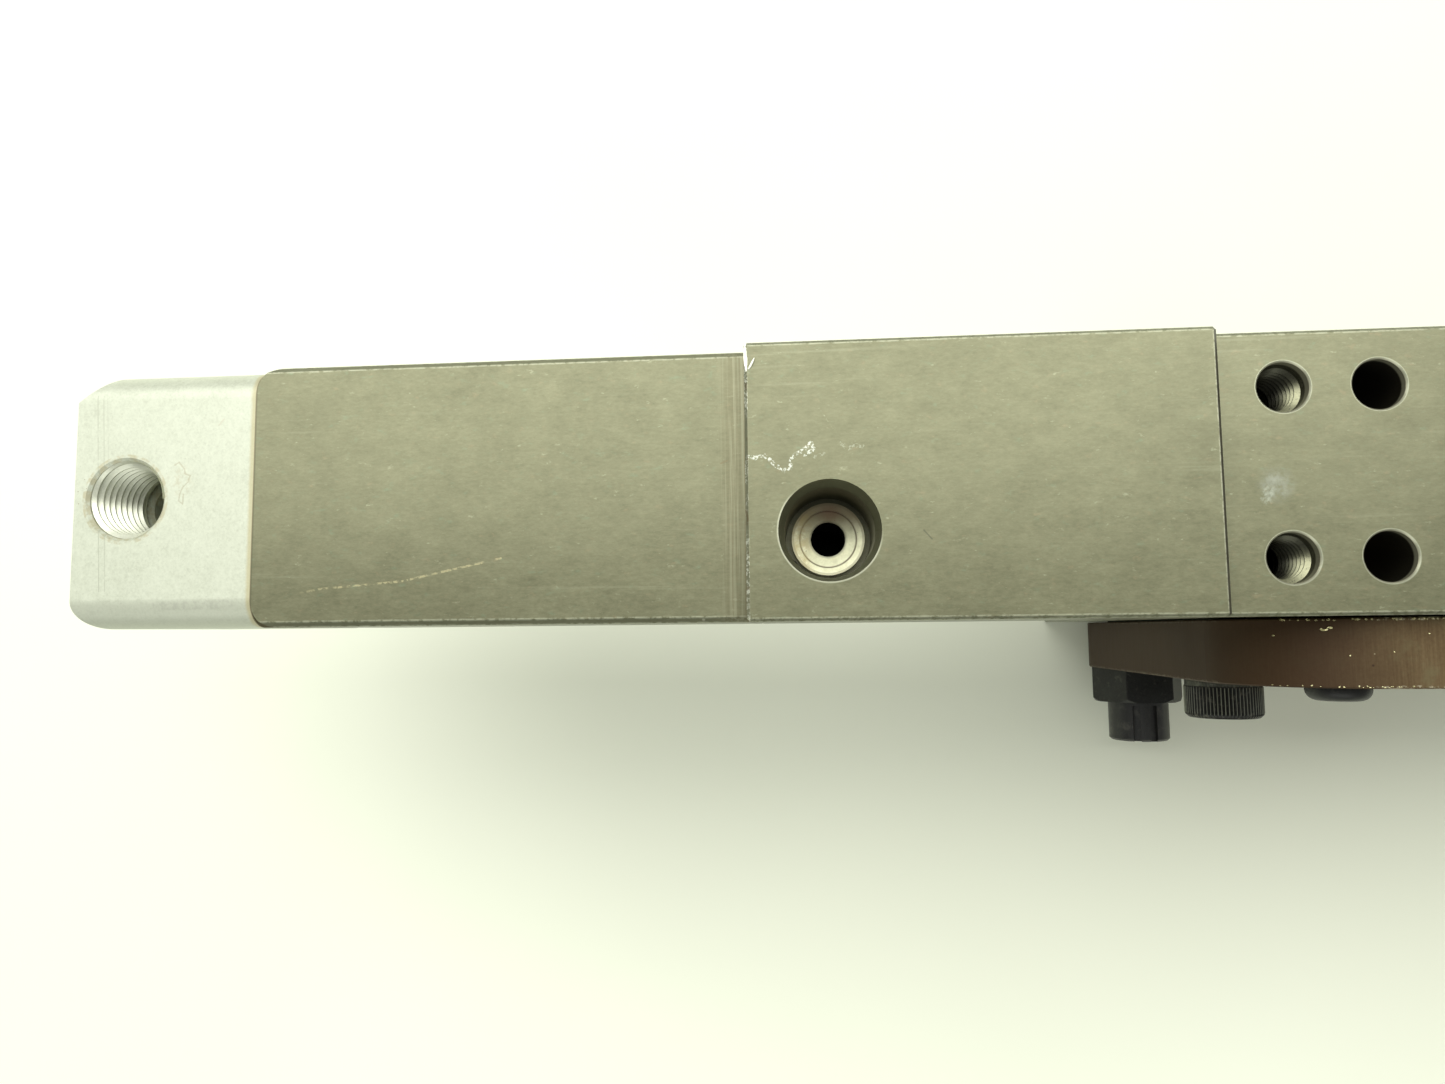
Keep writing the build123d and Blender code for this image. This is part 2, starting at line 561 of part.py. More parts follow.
def plug_stud():
    """Threaded stud that holds the plug: it fills the plate's hole and runs up into the neck."""
    tip = PLATE_OUTER_Y - PLUG_FLANGE_HEIGHT
    stud = bar_y(PLUG_X, (PLATE_OUTER_Y, PLATE_INNER_Y - 0.2), PLUG_Z, PLUG_STUD_RADIUS)
    return stud + bar_y(PLUG_X, (tip, PLATE_OUTER_Y), PLUG_Z, PLUG_BORE_RADIUS)


def plug_flange():
    outer = PLATE_OUTER_Y - PLUG_FLANGE_HEIGHT
    rounded_off = bar_y(PLUG_X, (outer, PLATE_OUTER_Y), PLUG_Z, PLUG_FLANGE_RADIUS)
    rounded_off = chamfer(rounded_off.edges().group_by(Axis.Y)[0], 0.9)
    flange = hexagon_y(PLUG_X, (outer, PLATE_OUTER_Y), PLUG_Z, PLUG_FLANGE_FLATS) & rounded_off
    return flange - bar_y(PLUG_X, (outer, PLATE_OUTER_Y), PLUG_Z, PLUG_BORE_RADIUS)


def plug_neck():
    """Round neck with deep and shallow key grooves along it and a round recess in its end."""
    near = PLATE_OUTER_Y - PLUG_FLANGE_HEIGHT
    far = near - PLUG_NECK_HEIGHT
    neck = bar_y(PLUG_X, (far, near), PLUG_Z, PLUG_NECK_RADIUS)
    neck = chamfer(neck.edges().group_by(Axis.Y)[0], 0.5)
    for degrees, depth in PLUG_GROOVES:
        groove = Pos(PLUG_X, (far + near) / 2 - PLUG_GROOVE_STOP, PLUG_Z) * Rot(0, degrees, 0)
        neck -= groove * Pos(0, 0, PLUG_NECK_RADIUS) * Box(PLUG_GROOVE_WIDTH, near - far, 2 * depth)
    return neck - bar_y(PLUG_X, (far, far + PLUG_RECESS_DEPTH), PLUG_Z, PLUG_RECESS_RADIUS)


def drive_lug():
    lug = block(LUG_X, (PLATE_INNER_Y, LUG_BACK_Y), LUG_Z)
    lug = chamfer(lug.edges().filter_by(Axis.Y), 1.0)
    lug -= bar_x(LUG_X, 0, AXIS_Z, ROD_THREAD_RADIUS)
    screw_hole = (PLATE_INNER_Y, PLATE_INNER_Y + 13.0)
    return lug - bar_y(LUG_SCREW_X, screw_hole, LUG_SCREW_Z, LUG_SCREW_RADIUS)


def lug_screw():
    """Button-head screw: the head is a shallow dome."""
    height = LUG_SCREW_HEAD_HEIGHT
    head = Pos(0, 0, height / 2) * Cylinder(LUG_SCREW_HEAD_RADIUS, height)
    head = fillet(head.edges().group_by(Axis.Z)[-1], 2.0)
    shank = Pos(0, 0, -LUG_SCREW_LENGTH / 2) * Cylinder(LUG_SCREW_RADIUS, LUG_SCREW_LENGTH)
    socket = Pos(0, 0, height) * RegularPolygon(2.0, 6, major_radius=False)
    screw = head + shank - extrude(socket, -2.0)
    return Pos(LUG_SCREW_X, PLATE_OUTER_Y, LUG_SCREW_Z) * Rot(90, 0, 0) * screw


def piston_rod():
    shoulder = PISTON_X[1]
    neck = LUG_X[0] - JAM_NUT_LENGTH - 1.0
    rod = bar_x((shoulder, neck), 0, AXIS_Z, ROD_RADIUS)
    rod = chamfer(rod.edges(), 0.6)
    rod += bar_x((PISTON_X[0] - ROD_END_LENGTH, shoulder), 0, AXIS_Z, ROD_THREAD_RADIUS)
    return rod + bar_x((neck, LUG_X[1]), 0, AXIS_Z, ROD_THREAD_RADIUS)


def rod_jam_nut():
    span = (LUG_X[0] - JAM_NUT_LENGTH, LUG_X[0])
    return hexagon_x(span, 0, AXIS_Z, ROD_NUT_FLATS) - bar_x(span, 0, AXIS_Z, ROD_THREAD_RADIUS)


def piston_nut():
    span = (PISTON_X[0] - 5.0, PISTON_X[0])
    return hexagon_x(span, 0, AXIS_Z, ROD_NUT_FLATS) - bar_x(span, 0, AXIS_Z, ROD_THREAD_RADIUS)


def piston_ring(name):
    low, high = PISTON_RINGS[name]
    span = (PISTON_X[0] + low, PISTON_X[0] + high)
    outer = PISTON_RADIUS - MAGNET_RECESS if name == "magnet_ring" else SEAL_RADIUS
    return ring_x(span, 0, AXIS_Z, PISTON_RADIUS - SEAL_GROOVE_DEPTH, outer)


def piston():
    body = bar_x(PISTON_X, 0, AXIS_Z, PISTON_RADIUS)
    body = chamfer(body.edges(), 0.6)
    for low, high in PISTON_RINGS.values():
        span = (PISTON_X[0] + low, PISTON_X[0] + high)
        body -= ring_x(span, 0, AXIS_Z, PISTON_RADIUS - SEAL_GROOVE_DEPTH, PISTON_RADIUS + 1)
    return body - bar_x(PISTON_X, 0, AXIS_Z, ROD_THREAD_RADIUS)


# ---- end stops ----
def rear_bumpers():
    """Rubber pads on the pocket's left wall, where the carriage comes to rest."""
    left_face = seal_spans()[0][0]
    return joined(bar_x((POCKET_X[0], left_face - STOP_GAP), y, z, BUMPER_RADIUS) for y, z in BUMPERS_YZ)


def stop_face():
    return seal_spans()[1][1] + STROKE + STOP_GAP


def front_bumper():
    return bar_x((stop_face(), stop_face() + STOP_PAD_THICKNESS), *STOP_YZ, BUMPER_RADIUS + 1)


def stop_screw():
    span = (stop_face() + STOP_PAD_THICKNESS, HOUSING_RIGHT + STOP_SCREW_PROUD)
    screw = bar_x(span, *STOP_YZ, STOP_SCREW_RADIUS)
    screw = chamfer(screw.edges().group_by(Axis.X)[-1], 0.8)
    return screw - hexagon_x((span[1] - STOP_SOCKET_DEPTH, span[1]), *STOP_YZ, STOP_SOCKET_FLATS)


def stop_nut():
    span = (HOUSING_RIGHT, HOUSING_RIGHT + STOP_NUT_LENGTH)
    return hexagon_x(span, *STOP_YZ, STOP_NUT_FLATS) - bar_x(span, *STOP_YZ, STOP_SCREW_RADIUS)


def all_parts():
    left_cap = (SADDLE_X[0] - SADDLE_CAP_LENGTH, SADDLE_X[0])
    right_cap = (SADDLE_X[1], SADDLE_X[1] + SADDLE_CAP_LENGTH)
    parts = {
        "end_cap": end_cap(),
        "cap_bolts": cap_bolts(),
        "cap_o_ring": o_ring(BARREL_LEFT + O_RING_INSET),
        "barrel": barrel(),
        "head_o_ring": o_ring(HEAD_LEFT - O_RING_INSET - O_RING_SECTION),
        "head_block": head_block(),
        "port_bush": port_bush(),
        "rod_seal": rod_seal(),
        "rod_bush": rod_bush(),
        "rod_wiper": rod_wiper(),
        "head_screws": head_screws(),
        "housing": housing(),
        "rail": rail(),
        "rail_screws": rail_screws(),
        "rail_hole_caps": rail_hole_caps(),
        "rear_bumpers": rear_bumpers(),
        "front_bumper": front_bumper(),
        "stop_screw": stop_screw(),
        "stop_nut": stop_nut(),
        "saddle": saddle(),
        "ball_rows": ball_rows(),
        "saddle_cap_rear": saddle_end_cap(left_cap),
        "saddle_cap_front": saddle_end_cap(right_cap),
        "saddle_seal_rear": saddle_seal(seal_spans()[0]),
        "saddle_seal_front": saddle_seal(seal_spans()[1]),
        "carriage_plate": carriage_plate(),
        "plate_screws": plate_screws(),
        "plate_dowels": plate_dowels(),
        "plug_stud": plug_stud(),
        "plug_flange": plug_flange(),
        "plug_neck": plug_neck(),
        "drive_lug": drive_lug(),
        "lug_screw": lug_screw(),
        "piston_rod": piston_rod(),
        "rod_jam_nut": rod_jam_nut(),
        "piston_nut": piston_nut(),
        "piston": piston(),
    }
    for name in PISTON_RINGS:
        parts[name] = piston_ring(name)
    return parts


os.makedirs("parts", exist_ok=True)
for node, shape in all_parts().items():
    export_step(shape, f"parts/{node}.step")
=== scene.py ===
import math
import random

import bpy
from mathutils import Matrix, Vector


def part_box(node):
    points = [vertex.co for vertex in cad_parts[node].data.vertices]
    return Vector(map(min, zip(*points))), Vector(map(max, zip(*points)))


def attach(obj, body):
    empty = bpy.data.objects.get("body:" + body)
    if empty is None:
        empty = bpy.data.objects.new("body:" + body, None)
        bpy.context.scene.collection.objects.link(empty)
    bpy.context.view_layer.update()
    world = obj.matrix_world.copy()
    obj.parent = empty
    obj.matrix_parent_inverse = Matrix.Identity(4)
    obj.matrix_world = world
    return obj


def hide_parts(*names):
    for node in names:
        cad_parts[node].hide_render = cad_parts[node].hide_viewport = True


# A pneumatic slide unit, seen from above. Everything here is in metres, in the CAD model's frame:
# the stroke runs along +X, the tooling plate is on the -Y side, and the housing stands on Z = 0.
# Points of marks and chips, screw outlines and arguments that end in _mm are in millimetres.

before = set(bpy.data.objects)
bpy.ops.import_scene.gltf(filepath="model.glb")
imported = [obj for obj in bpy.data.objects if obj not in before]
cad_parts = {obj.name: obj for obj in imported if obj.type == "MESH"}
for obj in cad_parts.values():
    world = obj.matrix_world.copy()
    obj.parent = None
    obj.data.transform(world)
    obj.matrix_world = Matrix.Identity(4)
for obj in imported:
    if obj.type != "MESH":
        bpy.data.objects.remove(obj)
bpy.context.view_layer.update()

MM = 0.001
TAU = 2 * math.pi
rng = random.Random(7)


# ---- places worked out from the CAD nodes ----
def low(node):
    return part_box(node)[0]


def high(node):
    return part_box(node)[1]


def middle(node):
    return (low(node) + high(node)) / 2


CAP_TOP = high("end_cap").z
BARREL_TOP = high("barrel").z
HEAD_TOP = high("head_block").z
HOUSING_TOP = high("housing").z
PLATE_LOW = low("carriage_plate")
PLATE_HIGH = high("carriage_plate")
BARREL_LEFT = low("barrel").x
HEAD_LEFT = high("barrel").x
CAP_PORT_FROM_END = 9.4 * MM
PORT_CENTRE = Vector((low("end_cap").x + CAP_PORT_FROM_END, 0, CAP_TOP))
BUSH_CENTRE = middle("port_bush")
TAPPED_HOLE = Vector((73.8, 13.5, 0)) * MM      # the other three mirror this one
DOWEL_HOLE = Vector((59.4, 13.5, 0)) * MM
HOLE_RIM_MM = 4.30
HOLE_WALL_MM = 4.4
PLAIN_WALL = 1.7 * MM           # the M8 threads start this far below the housing's top
HOLE_PAINT_DEPTH = 15.2 * MM    # hole walls are coloured down to here, above the pocket's ceiling
PLATE_SCREW_X = (-57.7 * MM, 5.5 * MM)
PLATE_SCREW_Z = 47.7 * MM
PLATE_CORNER_MM = 22.0          # radius of the plate's two upper corners


# ---- shader node helpers ----
class Shader:
    """A material under construction: short calls add nodes and return their output sockets."""

    def __init__(self, name, roughness=0.5, metallic=0.0, specular=0.5):
        self.material = bpy.data.materials.new(name)
        self.material.use_nodes = True
        self.tree = self.material.node_tree
        self.surface = self.tree.nodes["Principled BSDF"]
        self.surface.inputs["Roughness"].default_value = roughness
        self.surface.inputs["Metallic"].default_value = metallic
        self.surface.inputs["Specular IOR Level"].default_value = specular
        self.place = self.tree.nodes.new("ShaderNodeTexCoord").outputs["Object"]
        self.plan = self.vector("MULTIPLY", self.place, (1, 1, 0))
        split = self.tree.nodes.new("ShaderNodeSeparateXYZ")
        self.put(split.inputs[0], self.place)
        self.axes = split.outputs
        self.paint = None

    def put(self, socket, value):
        if isinstance(value, bpy.types.NodeSocket):
            self.tree.links.new(value, socket)
        else:
            socket.default_value = value

    def math(self, operation, first, second=0.0):
        node = self.tree.nodes.new("ShaderNodeMath")
        node.operation = operation
        self.put(node.inputs[0], first)
        self.put(node.inputs[1], second)
        return node.outputs[0]

    def times(self, *values):
        product = values[0]
        for value in values[1:]:
            product = self.math("MULTIPLY", product, value)
        return product

    def total(self, *weighted):
        """The sum of (socket, weight) pairs."""
        result = 0.0
        for value, weight in weighted:
            result = self.math("ADD", self.math("MULTIPLY", value, weight), result)
        return result

    def vector(self, operation, first, second=(0, 0, 0)):
        node = self.tree.nodes.new("ShaderNodeVectorMath")
        node.operation = operation
        self.put(node.inputs[0], first)
        self.put(node.inputs["Scale" if operation == "SCALE" else 1], second)
        return node.outputs["Value" if operation in ("DOT_PRODUCT", "LENGTH", "DISTANCE") else 0]

    def band(self, value, start, end):
        """0 at start and beyond, 1 at end and beyond, smooth between; start may be above end."""
        node = self.tree.nodes.new("ShaderNodeMapRange")
        node.interpolation_type = "SMOOTHSTEP"
        self.put(node.inputs["Value"], value)
        if start < end:
            spans = (start, end, 0.0, 1.0)
        else:
            spans = (end, start, 1.0, 0.0)
        for name, number in zip(("From Min", "From Max", "To Min", "To Max"), spans):
            node.inputs[name].default_value = number
        return node.outputs[0]

    def noise(self, size_mm, detail=2.0, rough=0.5, stretch=(1, 1, 1), seed=0.0):
        """Noise with features about size_mm wide, drawn out along an axis where stretch is below 1."""
        node = self.tree.nodes.new("ShaderNodeTexNoise")
        node.noise_dimensions = "4D"
        self.put(node.inputs["Vector"], self.vector("MULTIPLY", self.place, stretch))
        node.inputs["W"].default_value = seed
        node.inputs["Scale"].default_value = 1.0 / (size_mm * MM)
        node.inputs["Detail"].default_value = detail
        node.inputs["Roughness"].default_value = rough
        return node.outputs["Fac"]

    def patches(self, size_mm, start, end, stretch=(1, 1, 1), seed=0.0):
        """Ragged patches: 1 where fractal noise is above end, 0 where it is below start."""
        return self.band(self.noise(size_mm, 3, 0.65, stretch, seed), start, end)

    def specks(self, size_mm, share, seed=0.0):
        """Small scattered dots: 1 inside a dot. share is how much of a cell a dot may fill."""
        node = self.tree.nodes.new("ShaderNodeTexVoronoi")
        node.voronoi_dimensions = "4D"
        self.put(node.inputs["Vector"], self.place)
        node.inputs["W"].default_value = seed
        node.inputs["Scale"].default_value = 1.0 / (size_mm * MM)
        return self.band(node.outputs["Distance"], share, share * 0.5)

    def mix(self, factor, first, second):
        node = self.tree.nodes.new("ShaderNodeMix")
        node.data_type = "RGBA"
        for name, value in (("Factor", factor), ("A", first), ("B", second)):
            socket = next(item for item in node.inputs if item.name == name and item.enabled)
            self.put(socket, value)
        return next(socket for socket in node.outputs if socket.enabled)

    def tones(self, value, *stops):
        """Start the paint with a colour ramp through (position, colour) stops."""
        node = self.tree.nodes.new("ShaderNodeValToRGB")
        self.put(node.inputs["Fac"], value)
        elements = node.color_ramp.elements
        while len(elements) < len(stops):
            elements.new(0.5)
        for element, (position, colour) in zip(elements, stops):
            element.position = position
            element.color = (*colour, 1)
        self.paint = node.outputs["Color"]
        self.put(self.surface.inputs["Base Color"], self.paint)

    def over(self, mask, colour, strength=1.0):
        """Lay a colour over the paint where the mask is 1."""
        self.paint = self.mix(self.math("MULTIPLY", mask, strength), self.paint, (*colour, 1))
        self.put(self.surface.inputs["Base Color"], self.paint)

    def bump(self, height, distance_mm, strength=1.0):
        node = self.tree.nodes.new("ShaderNodeBump")
        self.put(node.inputs["Height"], height)
        node.inputs["Distance"].default_value = distance_mm * MM
        node.inputs["Strength"].default_value = strength
        previous = self.surface.inputs["Normal"]
        if previous.is_linked:
            self.tree.links.new(previous.links[0].from_socket, node.inputs["Normal"])
        self.tree.links.new(node.outputs["Normal"], previous)

    def uneven(self, value, lowest, highest):
        """Roughness that follows a 0 to 1 value between two figures."""
        self.put(self.surface.inputs["Roughness"], self.total((value, highest - lowest), (1.0, lowest)))

    def edge_distance(self, node_name, lengthwise=False):
        """Distance from the nearest outer edge of a box-shaped node: the middle one of the three
        distances to its pairs of faces. lengthwise counts only the edges along X."""
        corner_low, corner_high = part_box(node_name)
        gaps = []
        for axis in range(3):
            centre = (corner_low[axis] + corner_high[axis]) / 2
            half = (corner_high[axis] - corner_low[axis]) / 2
            offset = self.math("ABSOLUTE", self.math("SUBTRACT", self.axes[axis], centre))
            gaps.append(self.math("SUBTRACT", half, offset))
        if lengthwise:
            return self.math("MAXIMUM", gaps[1], gaps[2])
        smaller = self.math("MINIMUM", gaps[0], gaps[1])
        larger = self.math("MAXIMUM", gaps[0], gaps[1])
        return self.math("MAXIMUM", smaller, self.math("MINIMUM", larger, gaps[2]))

    def edge_line(self, distance, break_mm, ragged_mm=0.25, seed=4.0):
        """A pale line where an edge's chamfer meets the faces beside it, partly worn metal and partly
        painted highlight.
        """
        wobble = self.math("SUBTRACT", self.noise(1.3, 3, seed=seed), 0.5)
        gap = self.total((distance, 1.0), (wobble, ragged_mm * MM))
        inner = self.band(gap, (break_mm + 0.28) * MM, (break_mm + 0.08) * MM)
        return self.times(inner, self.band(gap, (break_mm - 0.28) * MM, (break_mm - 0.06) * MM))

    def chamfer_shade(self, distance, width_mm, near_plate, elsewhere):
        """Painted shade on a machined chamfer: near_plate is its strength on the -Y side, away from the key
        light.
        """
        chamfer = self.band(distance, width_mm * MM, (width_mm - 0.15) * MM)
        plate_side = self.band(self.axes[1], low("head_block").y + 1.4 * MM, low("head_block").y + 1.0 * MM)
        return self.times(chamfer, self.total((plate_side, near_plate - elsewhere), (1.0, elsewhere)))

    def matt(self, mask, roughness):
        """Raise the roughness to at least this figure where the mask is 1."""
        socket = self.surface.inputs["Roughness"]
        before = socket.links[0].from_socket
        self.put(socket, self.math("MAXIMUM", before, self.math("MULTIPLY", mask, roughness)))

    def near(self, point, reach_mm, soft_mm):
        """1 within reach of a point in metres, falling to 0 over the soft distance."""
        gap = self.vector("DISTANCE", self.place, point)
        return self.band(gap, (reach_mm + soft_mm) * MM, reach_mm * MM)

    def around(self, centre, inner_mm, outer_mm, mirrored=False):
        """1 in plan view between two radii about a centre, with soft edges; mirrored repeats it in
        all four quarters."""
        place = self.vector("ABSOLUTE", self.plan) if mirrored else self.plan
        gap = self.vector("DISTANCE", place, (centre[0], centre[1], 0))
        soft = 0.12 * MM
        inside = self.band(gap, outer_mm * MM + soft, outer_mm * MM - soft)
        return self.times(inside, self.band(gap, inner_mm * MM - soft, inner_mm * MM + soft))

    def above(self, height, soft_mm=0.2):
        return self.band(self.axes[2], height - soft_mm * MM, height)

    def below(self, height, soft_mm=0.2):
        return self.band(self.axes[2], height + soft_mm * MM, height)

    def trace(self, points, width_mm, fray_mm=0.0, grain_mm=0.7, seed=11.0):
        """1 along a line through plan-view points in millimetres; fray makes its sides ragged."""
        nearest = None
        for first, second in zip(points, points[1:]):
            start = Vector((*first, 0)) * MM
            run = Vector((*second, 0)) * MM - start
            offset = self.vector("SUBTRACT", self.plan, start)
            share = self.math("DIVIDE", self.vector("DOT_PRODUCT", offset, run), run.length_squared)
            share = self.math("MINIMUM", self.math("MAXIMUM", share, 0.0), 1.0)
            gap = self.vector("DISTANCE", offset, self.vector("SCALE", run, share))
            nearest = gap if nearest is None else self.math("MINIMUM", nearest, gap)
        if fray_mm:
            ragged = self.noise(grain_mm, 4, 0.7, seed=seed)
            nearest = self.total((nearest, 1.0), (self.math("SUBTRACT", ragged, 0.5), 2 * fray_mm * MM))
        return self.band(nearest, width_mm * MM * 0.75, width_mm * MM * 0.35)


# ---- colours that several materials share ----
# pale worn metal, also used as painted highlight on lit edges and on the lit side of the head's port
PALE_WEAR_AND_HIGHLIGHT = (0.56, 0.58, 0.44)
DUST = (0.50, 0.48, 0.38)
# grime, also used as painted shade where the barrel meets the head
GRIME_AND_SHADE = (0.16, 0.13, 0.07)
# painted shade deep in holes and bores
SHADE_BLACK = (0.006, 0.006, 0.005)


# ---- materials ----
def anodised(name, node_name, break_mm, lengthwise=False):
    """Hard-anodised aluminium: olive grey, finely mottled along X, with painted shade on its chamfers,
    strongest on the -Y side, and pale edge lines that are partly worn metal and partly painted highlight.
    """
    s = Shader(name, metallic=0.5)
    grain = s.noise(0.42, 3, 0.7, (0.4, 1, 1))
    blotch = s.noise(3.2, 4, 0.6, (0.6, 1, 1), 2.0)
    cloud = s.noise(26.0, 2, seed=5.0)
    tone = s.total((grain, 0.45), (blotch, 0.35), (cloud, 0.2))
    s.tones(tone, (0.35, (0.129, 0.130, 0.074)), (0.5, (0.167, 0.168, 0.099)),
            (0.65, (0.208, 0.209, 0.127)))
    s.over(s.patches(1.0, 0.58, 0.74, (0.5, 1, 1), 9.0), (0.28, 0.22, 0.13), 0.35)
    s.over(s.patches(1.1, 0.58, 0.74, (0.5, 1, 1), 12.0), (0.17, 0.235, 0.15), 0.35)
    s.over(s.patches(0.8, 0.62, 0.76, (0.45, 1, 1), 3.0), (0.36, 0.375, 0.25), 0.5)
    s.over(s.patches(1.6, 0.60, 0.74, (0.03, 1, 1), 6.0), (0.33, 0.34, 0.23), 0.2)
    s.over(s.specks(8.0, 0.035, seed=15.0), (0.09, 0.08, 0.05), 0.8)
    s.over(s.specks(9.0, 0.04, seed=16.0), (0.62, 0.62, 0.48), 0.7)
    edge = s.edge_distance(node_name, lengthwise)
    # painted shade on the chamfers, strongest on the -Y side
    s.over(s.chamfer_shade(edge, break_mm, 0.5, 0.12), (0.09, 0.095, 0.06))
    rubbed = s.patches(0.9, 0.36, 0.56, seed=14.0)
    # painted highlight and worn metal: a pale broken line along the chamfers
    s.over(s.times(s.edge_line(edge, break_mm), rubbed), PALE_WEAR_AND_HIGHLIGHT, 0.36)
    s.uneven(grain, 0.24, 0.38)
    s.bump(grain, 0.010, 0.5)
    s.bump(blotch, 0.04, 0.2)
    return s


def barrel_material():
    """The barrel: cutter lines and painted shade beside the head's shoulder, a dark band along its left
    end, and a dotted, pale yellow scratch.
    """
    s = anodised("barrel_anodised", "barrel", 0.9, lengthwise=True)
    lines = s.patches(0.5, 0.46, 0.60, (1, 0.015, 1), 21.0)
    # painted shade on the barrel beside the head's higher shoulder
    shoulder = s.band(s.axes[0], HEAD_LEFT - 5.2 * MM, HEAD_LEFT - 2.5 * MM)
    s.over(shoulder, (0.13, 0.115, 0.06), 0.35)
    s.over(s.times(lines, shoulder), (0.34, 0.34, 0.23), 0.35)
    # painted shade in the corner against the head's wall
    s.over(s.band(s.axes[0], HEAD_LEFT - 0.7 * MM, HEAD_LEFT - 0.1 * MM), GRIME_AND_SHADE, 0.35)
    # darker along the barrel's left end, beside the joint with the cap
    dark_end = s.band(s.axes[0], BARREL_LEFT + 0.3 * MM, BARREL_LEFT + 0.1 * MM)
    s.over(dark_end, (0.075, 0.07, 0.04), 0.5)
    dotted = s.times(s.patches(0.7, 0.42, 0.55, seed=7.0), s.patches(4.0, 0.40, 0.52, seed=23.0))
    scratch = s.trace([(-238.8, -17.4), (-231.3, -16.1), (-217, -15.0), (-200, -11.4)], 0.32, 0.12)
    fading_in = s.band(s.axes[0], BARREL_LEFT + 4 * MM, BARREL_LEFT + 16 * MM)
    s.over(s.times(scratch, dotted, fading_in, s.above(BARREL_TOP - 0.5 * MM)), (0.56, 0.50, 0.28), 0.5)
    s.over(s.trace([(-162.9, 3.7), (-161.8, 4.15)], 0.22), GRIME_AND_SHADE, 0.7)
    return s.material


SCUFF = [(-158.3, 3.9), (-156.8, 3.6), (-155.5, 4.0), (-154.4, 3.0), (-153.7, 2.3), (-152.2, 1.4),
         (-151.5, 1.5), (-151.1, 3.4), (-150.6, 4.0), (-149.1, 4.7), (-148.0, 5.8), (-147.6, 4.7),
         (-149.1, 3.9)]
FAINT_SCUFFS = ([(-147.4, 3.5), (-146.1, 4.0)],
                [(-143.3, 5.7), (-142.4, 4.6), (-141.1, 5.2), (-139.8, 4.9)])


def head_material():
    """The head block: a white scribble of a scuff, small scratches, a rubbed left edge, a painted highlight
    on the lit side of its port's rim, and painted shade in the port and along its right edge.
    """
    s = anodised("head_anodised", "head_block", 0.5)
    top = s.above(HEAD_TOP, 0.3)
    broken = s.patches(0.45, 0.47, 0.58, seed=22.0)
    s.over(s.times(s.trace(SCUFF, 0.50, 0.55, 0.4), broken, top), (0.62, 0.65, 0.58), 0.75)
    for line in FAINT_SCUFFS:
        s.over(s.times(s.trace(line, 0.5, 0.5, 0.4), broken, top), (0.46, 0.49, 0.38), 0.35)
    s.over(s.times(s.trace([(-146.6, 11.3), (-144.5, 8.1)], 0.2), broken, top), (0.42, 0.43, 0.30), 0.35)
    s.over(s.times(s.trace([(-130.7, -8.5), (-129.5, -9.9)], 0.2), top), (0.06, 0.06, 0.04), 0.5)
    upper_edge = s.above(HEAD_TOP - 0.6 * MM, 0.3)
    left_edge = s.times(s.band(s.axes[0], HEAD_LEFT + 0.62 * MM, HEAD_LEFT + 0.45 * MM), upper_edge)
    s.over(left_edge, (0.34, 0.35, 0.26), 0.25)
    s.over(s.times(left_edge, s.patches(7.0, 0.42, 0.52, seed=24.0), broken), (0.74, 0.76, 0.64), 0.8)
    s.over(s.times(left_edge, s.patches(3.0, 0.56, 0.62, seed=25.0)), GRIME_AND_SHADE, 0.8)
    # painted highlight on the lit side of the port's rim
    slant = 0.5 * BUSH_CENTRE.x + BUSH_CENTRE.y
    lit_side = s.band(s.total((s.axes[0], 0.5), (s.axes[1], 1.0)), slant + 5 * MM, slant - 1 * MM)
    mouth = s.times(s.around(BUSH_CENTRE, 0.0, 8.36), s.above(HEAD_TOP - 0.1 * MM, 0.12), lit_side)
    s.over(mouth, PALE_WEAR_AND_HIGHLIGHT, 0.6)
    # painted shade down the port's wall, near black under the bush, with the roughness raised there
    inside = s.above(BUSH_CENTRE.z - 18 * MM)
    port_wall = s.times(s.around(BUSH_CENTRE, 0.0, 8.3), s.below(HEAD_TOP - 4.1 * MM), inside)
    s.over(port_wall, (0.07, 0.065, 0.04), 0.4)
    under_bush = s.times(s.around(BUSH_CENTRE, 0.0, 3.6), s.below(BUSH_CENTRE.z), inside)
    s.over(under_bush, SHADE_BLACK)
    s.matt(under_bush, 0.95)
    # painted shade along the head's right edge, where its step meets the housing
    right_edge = s.band(s.axes[0], high("head_block").x - 0.62 * MM, high("head_block").x - 0.48 * MM)
    s.over(s.times(right_edge, upper_edge), (0.040, 0.034, 0.030), 0.75)
    s.bump(s.math("MULTIPLY", s.specks(6.5, 0.075, seed=17.0), -1.0), 0.25, 0.8)
    return s.material


